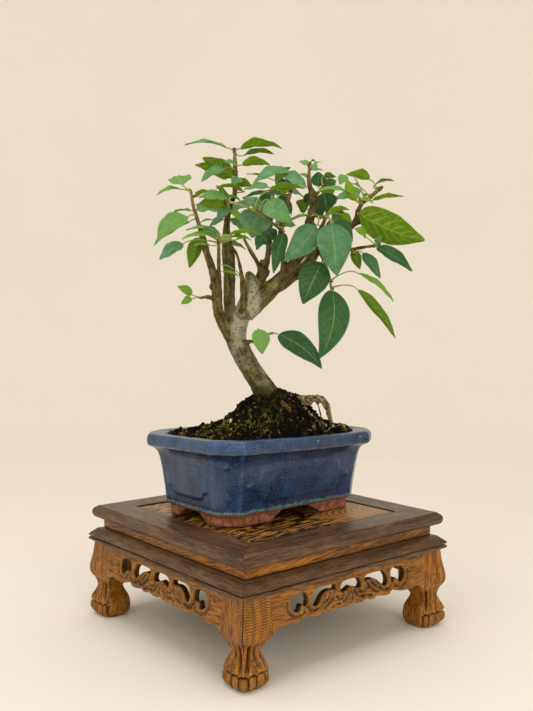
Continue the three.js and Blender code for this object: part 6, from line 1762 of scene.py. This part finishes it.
         [17, 62, 328, 43, 72, 321.5, 20, 35, 0.08, 0.4], [8, 68, 323.5, -7, 80, 308, 20, 50, 0.07, 0.3],
         [15, 68, 321.5, 30, 84, 304, 22, 50, 0.07, 0.25]],
    ),
    "back_mid_low": (
        [[6.3, 48, 285.6, 1.6], [6, 52, 289.2, 1.4]],
        [[0, 54, 294, -20, 64, 304, 19, 40, 0.07, 0.35], [12, 52, 291, 34, 62, 290, 20, 45, 0.07, 0.3],
         [4, 58, 284, -9, 70, 265, 18, 50, 0.07, 0.3]],
    ),
    "back_right": (
        [[70.2, 54.8, 311.7, 1.4], [71.2, 58, 314.8, 1.3]],
        [[76, 58, 317, 103, 64, 321, 18, 30, 0.08, 0.5], [68, 60, 318.5, 62, 66, 342, 18, -30, 0.08, 0.6],
         [64, 60, 313.5, 41, 68, 312.5, 20, 40, 0.08, 0.35],
         [73, 64, 308, 85, 78, 284, 22, 50, 0.07, 0.25]],
    ),
    "back_right_low": (
        [[59.2, 48, 283.5, 1.6], [60.1, 52, 287.1, 1.4]],
        [[65, 50, 287, 89, 58, 292, 18, 35, 0.07, 0.4], [55, 54, 290, 36, 66, 276, 20, 45, 0.07, 0.3],
         [61, 54, 279, 71, 66, 256, 20, 55, 0.07, 0.25]],
    ),
}
STALK_RADIUS = 0.5
BLADE_THICK = 0.16  # from a blade's middle to its upper or lower face
BLADE_FOLD = 0.22
BLADE_WAVE = 0.034
TOOTH_PITCH = 2.2
TOOTH_REACH = 0.85
SIDE_VEINS = 7
GREEN_SHOOTS = ["long_shoot"]


def blade_reach(t):
    """Half-width share of a blade along its length."""
    return np.sin(math.pi * t ** 0.76) ** 0.72 * (1 - 0.3 * t * t)


def vein_phase(along, across):
    """Counts side veins: a whole number where one runs. They leave the rib and curve to the tip."""
    return (along - 0.2 * np.abs(across) - 0.09 * across ** 2) * SIDE_VEINS + 0.5


def blade(base, tip, width, face, arch, bow, phase):
    """A leaf's blade: points, faces and leaf coordinates [across, along, underside]."""
    length = np.linalg.norm(tip - base)
    heading = (tip - base) / length
    lean = math.radians(face)
    up = np.array([0, -math.sin(lean), math.cos(lean)])
    normal = up - heading * (up @ heading)
    normal /= np.linalg.norm(normal)
    sideways = np.cross(heading, normal)
    rows = 3 * max(5, round(length / TOOTH_PITCH))
    half = 6 if width > 19 else 5 if width > 11 else 3
    t = np.linspace(0, 1, rows + 1)[:, None]
    s = np.sin(np.linspace(-1, 1, 2 * half + 1) * math.pi / 2)[None, :]
    reach = (width / 2) * blade_reach(np.clip(t, 1e-6, 1 - 1e-6))
    reach = reach * (1 + 0.035 * np.sin(7 * t + 1.7 * phase + 2 * np.sign(s)))
    tooth = ((np.arange(rows + 1) % 3) / 2 - 0.4)[:, None] * TOOTH_REACH * min(1, width / 14)
    reach = np.maximum(reach + tooth * (np.abs(s) > 0.99) * smooth_step(t, 0.04, 0.2), 0) * s
    rise = arch * length * 4 * t * (1 - t) + np.abs(reach) * BLADE_FOLD
    side = np.sign(s)
    wave = side * np.sin(13 * t + phase + side) * width * BLADE_WAVE * s ** 2
    wave += 0.012 * width * np.sin(29 * t + 2.3 * phase - side) * s ** 2
    between = 1 - 2 * np.abs(np.sin(math.pi * vein_phase(t, s)))
    pucker = 0.028 * width * between * np.sin(math.pi * np.abs(s))
    pucker = pucker * smooth_step(t, 0.02, 0.2) * smooth_step(t, 1, 0.8)
    aside = reach + bow * length * 4 * t * (1 - t)
    middle = base + heading * (length * t[..., None]) + sideways * aside[..., None]
    middle = middle + normal * (rise + wave - pucker)[..., None]
    thick = BLADE_THICK * (1 - 0.6 * np.abs(s) ** 3)
    rib = np.exp(-(np.abs(reach) / 0.5) ** 2) * (0.4 * (1 - 0.8 * t))
    upper = middle + normal * (thick - 0.5 * rib)[..., None]
    lower = middle - normal * (thick + rib)[..., None]
    columns = s.shape[1]
    count = (rows + 1) * columns
    top = np.arange(count).reshape(rows + 1, columns)
    top[0], top[-1] = top[0, 0], top[-1, 0]
    under = top + count
    under[:, [0, -1]] = top[:, [0, -1]]
    under[0], under[-1] = top[0], top[-1]
    faces = []
    for grid, turn in ((top, 1), (under, -1)):
        quads = np.stack([grid[:-1, :-1], grid[:-1, 1:], grid[1:, 1:], grid[1:, :-1]], axis=2)
        for quad in quads.reshape(-1, 4)[:, ::turn].tolist():
            corners = list(dict.fromkeys(quad))
            if len(corners) > 2:
                faces.append(corners)
    points = np.vstack([upper.reshape(-1, 3), lower.reshape(-1, 3)])
    across, along = np.broadcast_arrays(s, t)
    skin = np.stack([across, along], axis=2).reshape(-1, 2)
    below = np.repeat([0.0, 1.0], count)
    skin = np.column_stack([np.vstack([skin, skin]), below])
    used = np.unique(np.concatenate([np.array(face) for face in faces]))
    renumber = np.full(len(points), -1)
    renumber[used] = np.arange(len(used))
    return points[used], [[int(renumber[k]) for k in face] for face in faces], skin[used]


def unit(end, start):
    """The unit vector from start to end."""
    run = np.array(end[:3], float) - np.array(start[:3], float)
    return run / np.linalg.norm(run)


def nearest_on(shoot, target):
    """The point of a shoot's middle line nearest to a target."""
    rows = np.array(shoot, float)[:, :3]
    best = rows[0]
    for a, b in zip(rows, rows[1:]):
        t = np.clip((target - a) @ (b - a) / ((b - a) @ (b - a)), 0, 1)
        if np.linalg.norm(a + (b - a) * t - target) < np.linalg.norm(best - target):
            best = a + (b - a) * t
    return best


def stalk(shoot, base, tip, width):
    """A leaf's slender stalk, from the shoot to the blade's base and a little into it."""
    heading = (tip - base) / np.linalg.norm(tip - base)
    start = nearest_on(shoot, base)
    control = base - heading * 0.4 * np.linalg.norm(base - start)
    t = np.linspace(0, 1, 9)[:, None]
    route = (1 - t) ** 2 * start + 2 * t * (1 - t) * control + t * t * (base + heading * 0.8)
    radius = STALK_RADIUS + width * 0.012
    swell = 1 + 0.9 * np.exp(-np.linspace(0, 9, 9)) - 0.15 * np.linspace(0, 1, 9)
    return tube(route, radius * swell, 7)


def bud(place, ahead, radius):
    """A pointed bud with ringed scales, over a shoot's end or beside a stalk's foot."""
    t = np.linspace(0, 1, 10)
    size = radius * 1.25 * np.sqrt(np.clip(1 - t ** 2.2, 0.004, 1)) * (1 + 0.1 * np.cos(t * 19))
    line = place + ahead * (t * radius * 3.4 - radius * 0.8)[:, None]
    return tube(line, size, 9)


def spray_mesh(name, shoot, leaves, seed):
    """A spray's mesh; green is 0 on a woody shoot, 1 on a stalk, 2 on a blade."""
    shoot = [np.array(shoot[0]) + 3.2 * np.append(unit(shoot[0], shoot[1]), 0), *shoot]
    route, radii = smooth_route(shoot, 0.9)
    parts, skins, tones, greens = [], [], [], []

    def keep(part, tone, green):
        parts.append(part[:2])
        skins.append(part[2])
        tones.append(np.full(len(part[0]), tone))
        greens.append(np.full(len(part[0]), green) if np.isscalar(green) else green)

    wrinkled = ringed(route, radii, seed) * (1 + 0.05 * np.sin(np.arange(len(route)) * 2.1))
    greenest = 1.0 if name[6:] in GREEN_SHOOTS else 0.55
    keep(tube(route, wrinkled, 12), 0.5, np.repeat(greenest * np.linspace(0, 1, len(route)) ** 0.7, 12))
    keep(bud(route[-1], unit(route[-1], route[-2]), radii[-1]), 0.5, 0.0)
    for k, (bu, bw, bh, tu, tw, th, width, face, arch, tone, *bow) in enumerate(leaves):
        base, tip = np.array([bu, bw, bh], float), np.array([tu, tw, th], float)
        keep(stalk(shoot, base, tip, width), tone, 1.0)
        foot = nearest_on(shoot, base)
        lean = unit(base, foot) + 0.9 * unit(shoot[-1], shoot[0])
        lean = lean + [0.3 * math.sin(7 * k), 0.3 * math.cos(7 * k), 0]
        keep(bud(foot + lean, lean / np.linalg.norm(lean), 0.8 + 0.25 * math.sin(3 * k + seed)), 0.5, 0.15)
        tone += 0.06 * math.sin(5 * k + seed)
        keep(blade(base, tip, width, face, arch, sum(bow), k * 2.1), tone, 2.0)
    points, faces = merged(parts)
    mesh = mesh_of(name, placed(points), faces)
    set_attribute(mesh, "leaf", np.vstack(skins))
    set_attribute(mesh, "tone", np.concatenate(tones))
    set_attribute(mesh, "green", np.concatenate(greens))
    return mesh


def leaf_finish():
    """Crabapple leaf: blue-green above with a painted blue-grey sheen and a pale rib, duller below with
    raised veins, and yellow-green where young, a colour that also paints in light shining through the
    blade; its stalk is yellow-green and its shoot brown."""
    material, add = new_finish("crabapple_leaf")
    tone, green = (add("Attribute", attribute_name=name).outputs["Fac"] for name in ("tone", "green"))
    leaf = add("Attribute", attribute_name="leaf").outputs["Vector"]
    split = add("SeparateXYZ", {"Vector": leaf})
    across, along, below = split.outputs
    place = add("TexCoord").outputs["Object"]
    place = add("VectorMath", {0: place, "Scale": 1 / MM}, operation="SCALE")
    mottle = add("TexNoise", {"Vector": place, "Scale": 1 / 5, "Detail": 4, "Roughness": 0.65})
    shade = add("MapRange", {"Value": mottle, "From Min": 0.3, "From Max": 0.7, "To Min": -0.1,
                             "To Max": 0.1})
    age = add("Math", {0: tone, 1: shade}, operation="ADD")
    above = add("ValToRGB", {"Fac": age}, stops=[
        (0.0, "#1c4606"), (1.0, "#8cb61c"), (0.3, "#33682c"), (0.45, "#4d853c"), (0.6, "#7db056")])
    # Painted sheen: a pale blue-grey wash over the upper side, strongest on leaves of middle tone, stands
    # for light glancing off the wax.
    painted_sheen = add("TexNoise", {"Vector": place, "Scale": 1 / 11, "Detail": 3, "Roughness": 0.6})
    painted_sheen = add("MapRange", {"Value": painted_sheen, "From Min": 0.3, "From Max": 0.6, "To Max": 0.5})
    young = add("ValToRGB", {"Fac": tone}, stops=[(0.2, 0.1), (0.68, 0.0), (0.42, 1.0)])
    painted_sheen = add("Math", {0: painted_sheen, 1: young}, operation="MULTIPLY")
    above = add("Mix", {"Factor": painted_sheen, "A": above, "B": "#84b09a"})
    # Undersides and young leaves: yellow-green, brightest for the youngest, partly painting in light
    # shining through.
    under = add("ValToRGB", {"Fac": age}, stops=[
        (0.05, "#3c6824"), (1.0, "#92bb1c"), (0.5, "#55801c"), (0.81, "#648808"), (0.91, "#86ae16")])
    blade_colour = add("Mix", {"Factor": below, "A": above, "B": under})
    # Veins: the rib, then side veins as thin lines where the vein count is whole.
    size = add("Math", {0: across}, operation="ABSOLUTE")
    square = add("Math", {0: across, 1: across}, operation="MULTIPLY")
    slant = add("Math", {0: size, 1: -0.2, 2: along}, operation="MULTIPLY_ADD")
    slant = add("Math", {0: square, 1: -0.09, 2: slant}, operation="MULTIPLY_ADD")
    count = add("Math", {0: slant, 1: SIDE_VEINS, 2: 0.5}, operation="MULTIPLY_ADD")
    away = add("Math", {0: count, 1: 0.5}, operation="PINGPONG")
    side_vein = add("MapRange", {"Value": away, "From Min": 0.13, "From Max": 0.03, "To Max": 0.8})
    fade = add("MapRange", {"Value": size, "From Min": 0.95, "From Max": 0.5})
    side_vein = add("Math", {0: side_vein, 1: fade}, operation="MULTIPLY")
    rib = add("MapRange", {"Value": size, "From Min": 0.045, "From Max": 0.012, "To Max": 0.7})
    net = add("TexVoronoi", {"Vector": place, "Scale": 1 / 1.6}, feature="DISTANCE_TO_EDGE")
    net = add("MapRange", {"Value": net.outputs["Distance"], "From Min": 0.1, "From Max": 0.02,
                           "To Max": 0.1})
    # The side veins are faint and pale above; below they stand out.
    clear = add("MapRange", {"Value": below, "To Min": 0.25, "To Max": 1})
    lines = add("Math", {0: side_vein, 1: clear}, operation="MULTIPLY")
    lines = add("Math", {0: lines, 1: net}, operation="MAXIMUM")
    line_colour = add("Mix", {"Factor": below, "A": "#7aa872", "B": "#a2b94a"})
    blade_colour = add("Mix", {"Factor": lines, "A": blade_colour, "B": line_colour})
    veins = add("Math", {0: side_vein, 1: rib}, operation="MAXIMUM")
    vein_colour = add("ValToRGB", {"Fac": age}, stops=[(0.1, "#86ab62"), (0.9, "#b9cc5e")])
    blade_colour = add("Mix", {"Factor": rib, "A": blade_colour, "B": vein_colour})
    rim = add("MapRange", {"Value": size, "From Min": 0.96, "From Max": 1.0, "To Max": 0.35})
    blade_colour = add("Mix", {"Factor": rim, "A": blade_colour, "B": vein_colour})
    stem_colour = add("ValToRGB", {"Fac": mottle}, stops=[(0.35, "#43301b"), (0.65, "#7d5c34")])
    stalk_colour = add("ValToRGB", {"Fac": mottle}, stops=[(0.3, "#8b8a3c"), (0.7, "#aab255")])
    stalky = add("MapRange", {"Value": green, "From Min": 0.3, "From Max": 1})
    colour = add("Mix", {"Factor": stalky, "A": stem_colour, "B": stalk_colour})
    leafy = add("MapRange", {"Value": green, "From Min": 1.4, "From Max": 1.6})
    colour = add("Mix", {"Factor": leafy, "A": colour, "B": blade_colour})
    relief = add("Bump", {"Height": veins, "Strength": 0.35, "Distance": 0.25 * MM})
    rough = add("MapRange", {"Value": below, "To Min": 0.45, "To Max": 0.62})
    shader = add("BsdfPrincipled", {"Base Color": colour, "Roughness": rough, "Specular IOR Level": 0.22,
                                    "Normal": relief})
    glow = add("Mix", {"Factor": 0.45, "A": colour, "B": "#a9c60e"})
    through = add("BsdfTranslucent", {"Color": glow})
    share = add("MapRange", {"Value": tone, "From Min": 0.1, "To Min": 0.12, "To Max": 0.38})
    share = add("Math", {0: leafy, 1: share}, operation="MULTIPLY")
    both = add("MixShader", {0: share, 1: shader, 2: through})
    add("OutputMaterial", {"Surface": both})
    return material


leaf_green = leaf_finish()
for seed, (name, (shoot, leaves)) in enumerate(SPRAYS.items()):
    piece(f"shoot_{name}", spray_mesh(f"shoot_{name}", shoot, leaves, seed), leaf_green, "leaves",
          f"spray_{name}", sharp=60)

# ---------------------------------------------------------------- floor, light and camera
# Not part of the object: a matt cream paper sweep that the stand rests on, a broad soft light
# overhead, weaker ones at the sides, and the camera a little above the soil's height.
SWEEP_FLAT = 1.2
SWEEP_CURVE = 0.7
SWEEP_TOP = 1.7
SWEEP_SIDES = 64
FILL_STRENGTH = 0.62
CAMERA_PLACE = (-0.5255, -0.6366, 0.2951)
CAMERA_AIM = (0.0030, 0.0, 0.2648)
LENS = 41.92


def cream_paper():
    """Seamless background paper: matt, evenly cream, with the faintest mottling."""
    material, add = new_finish("cream_background_paper")
    place = add("TexCoord").outputs["Object"]
    mottle = add("TexNoise", {"Vector": place, "Scale": 3, "Detail": 2})
    colour = add("ValToRGB", {"Fac": mottle}, stops=[(0.3, "#f0ebe1"), (0.7, "#f2ede3")])
    shader = add("BsdfPrincipled", {"Base Color": colour, "Roughness": 0.85})
    add("OutputMaterial", {"Surface": shader})
    return material


def paper_sweep():
    """The paper's mesh: a floor that curves up all round into one standing wall."""
    ring = np.linspace(0, 2 * math.pi, SWEEP_SIDES, endpoint=False)
    profile = [[0.02, 0], [0.5, 0], [SWEEP_FLAT, 0]]
    profile += [[SWEEP_FLAT + math.sin(a) * SWEEP_CURVE, (1 - math.cos(a)) * SWEEP_CURVE]
                for a in np.radians(np.arange(5, 91, 5))]
    profile += [[SWEEP_FLAT + SWEEP_CURVE, SWEEP_TOP]]
    points = [[r * math.cos(a), r * math.sin(a), z] for r, z in profile for a in ring]
    faces = ring_faces(len(profile), SWEEP_SIDES).tolist() + [list(range(SWEEP_SIDES))]
    mesh = bpy.data.meshes.new("paper_sweep")
    mesh.from_pydata(points, [], faces)
    mesh.shade_smooth()
    mesh.materials.append(cream_paper())
    return shown("paper_sweep", mesh)


paper_sweep()


def looking(place, aim):
    """The rotation of a light or a camera that looks from one place at another."""
    return (Vector(aim) - Vector(place)).to_track_quat("-Z", "Y").to_euler()


def soft_light(name, place, aim, size, power, tint):
    """A square area light aimed at a point."""
    lamp = bpy.data.lights.new(name, "AREA")
    lamp.shape, lamp.size, lamp.energy = "SQUARE", size, power
    lamp.color = linear(tint)[:3]
    made = shown(name, lamp)
    made.location = place
    made.visible_camera = False
    made.rotation_euler = looking(place, aim)


soft_light("overhead_light", (-0.1, 0.0, 2.3), (0, 0, 0.2), 1.6, 17.6, "#f6faff")
soft_light("left_light", (-1.25, -0.15, 1.1), (0, 0, 0.25), 0.66, 3.0, "#f6faff")
soft_light("camera_light", (-0.42, -1.15, 0.49), (0, 0, 0.12), 0.77, 4.5, "#f6faff")
world = bpy.data.worlds.new("studio_fill")
world.use_nodes = True
fill = world.node_tree.nodes["Background"].inputs
fill["Color"].default_value = linear("#fff1dc")
fill["Strength"].default_value = FILL_STRENGTH
bpy.context.scene.world = world
bpy.context.scene.view_settings.view_transform = "Standard"

camera = bpy.data.cameras.new("camera")
camera.lens = LENS
camera_object = shown("camera", camera)
camera_object.location = CAMERA_PLACE
camera_object.rotation_euler = looking(CAMERA_PLACE, CAMERA_AIM)
bpy.context.scene.camera = camera_object
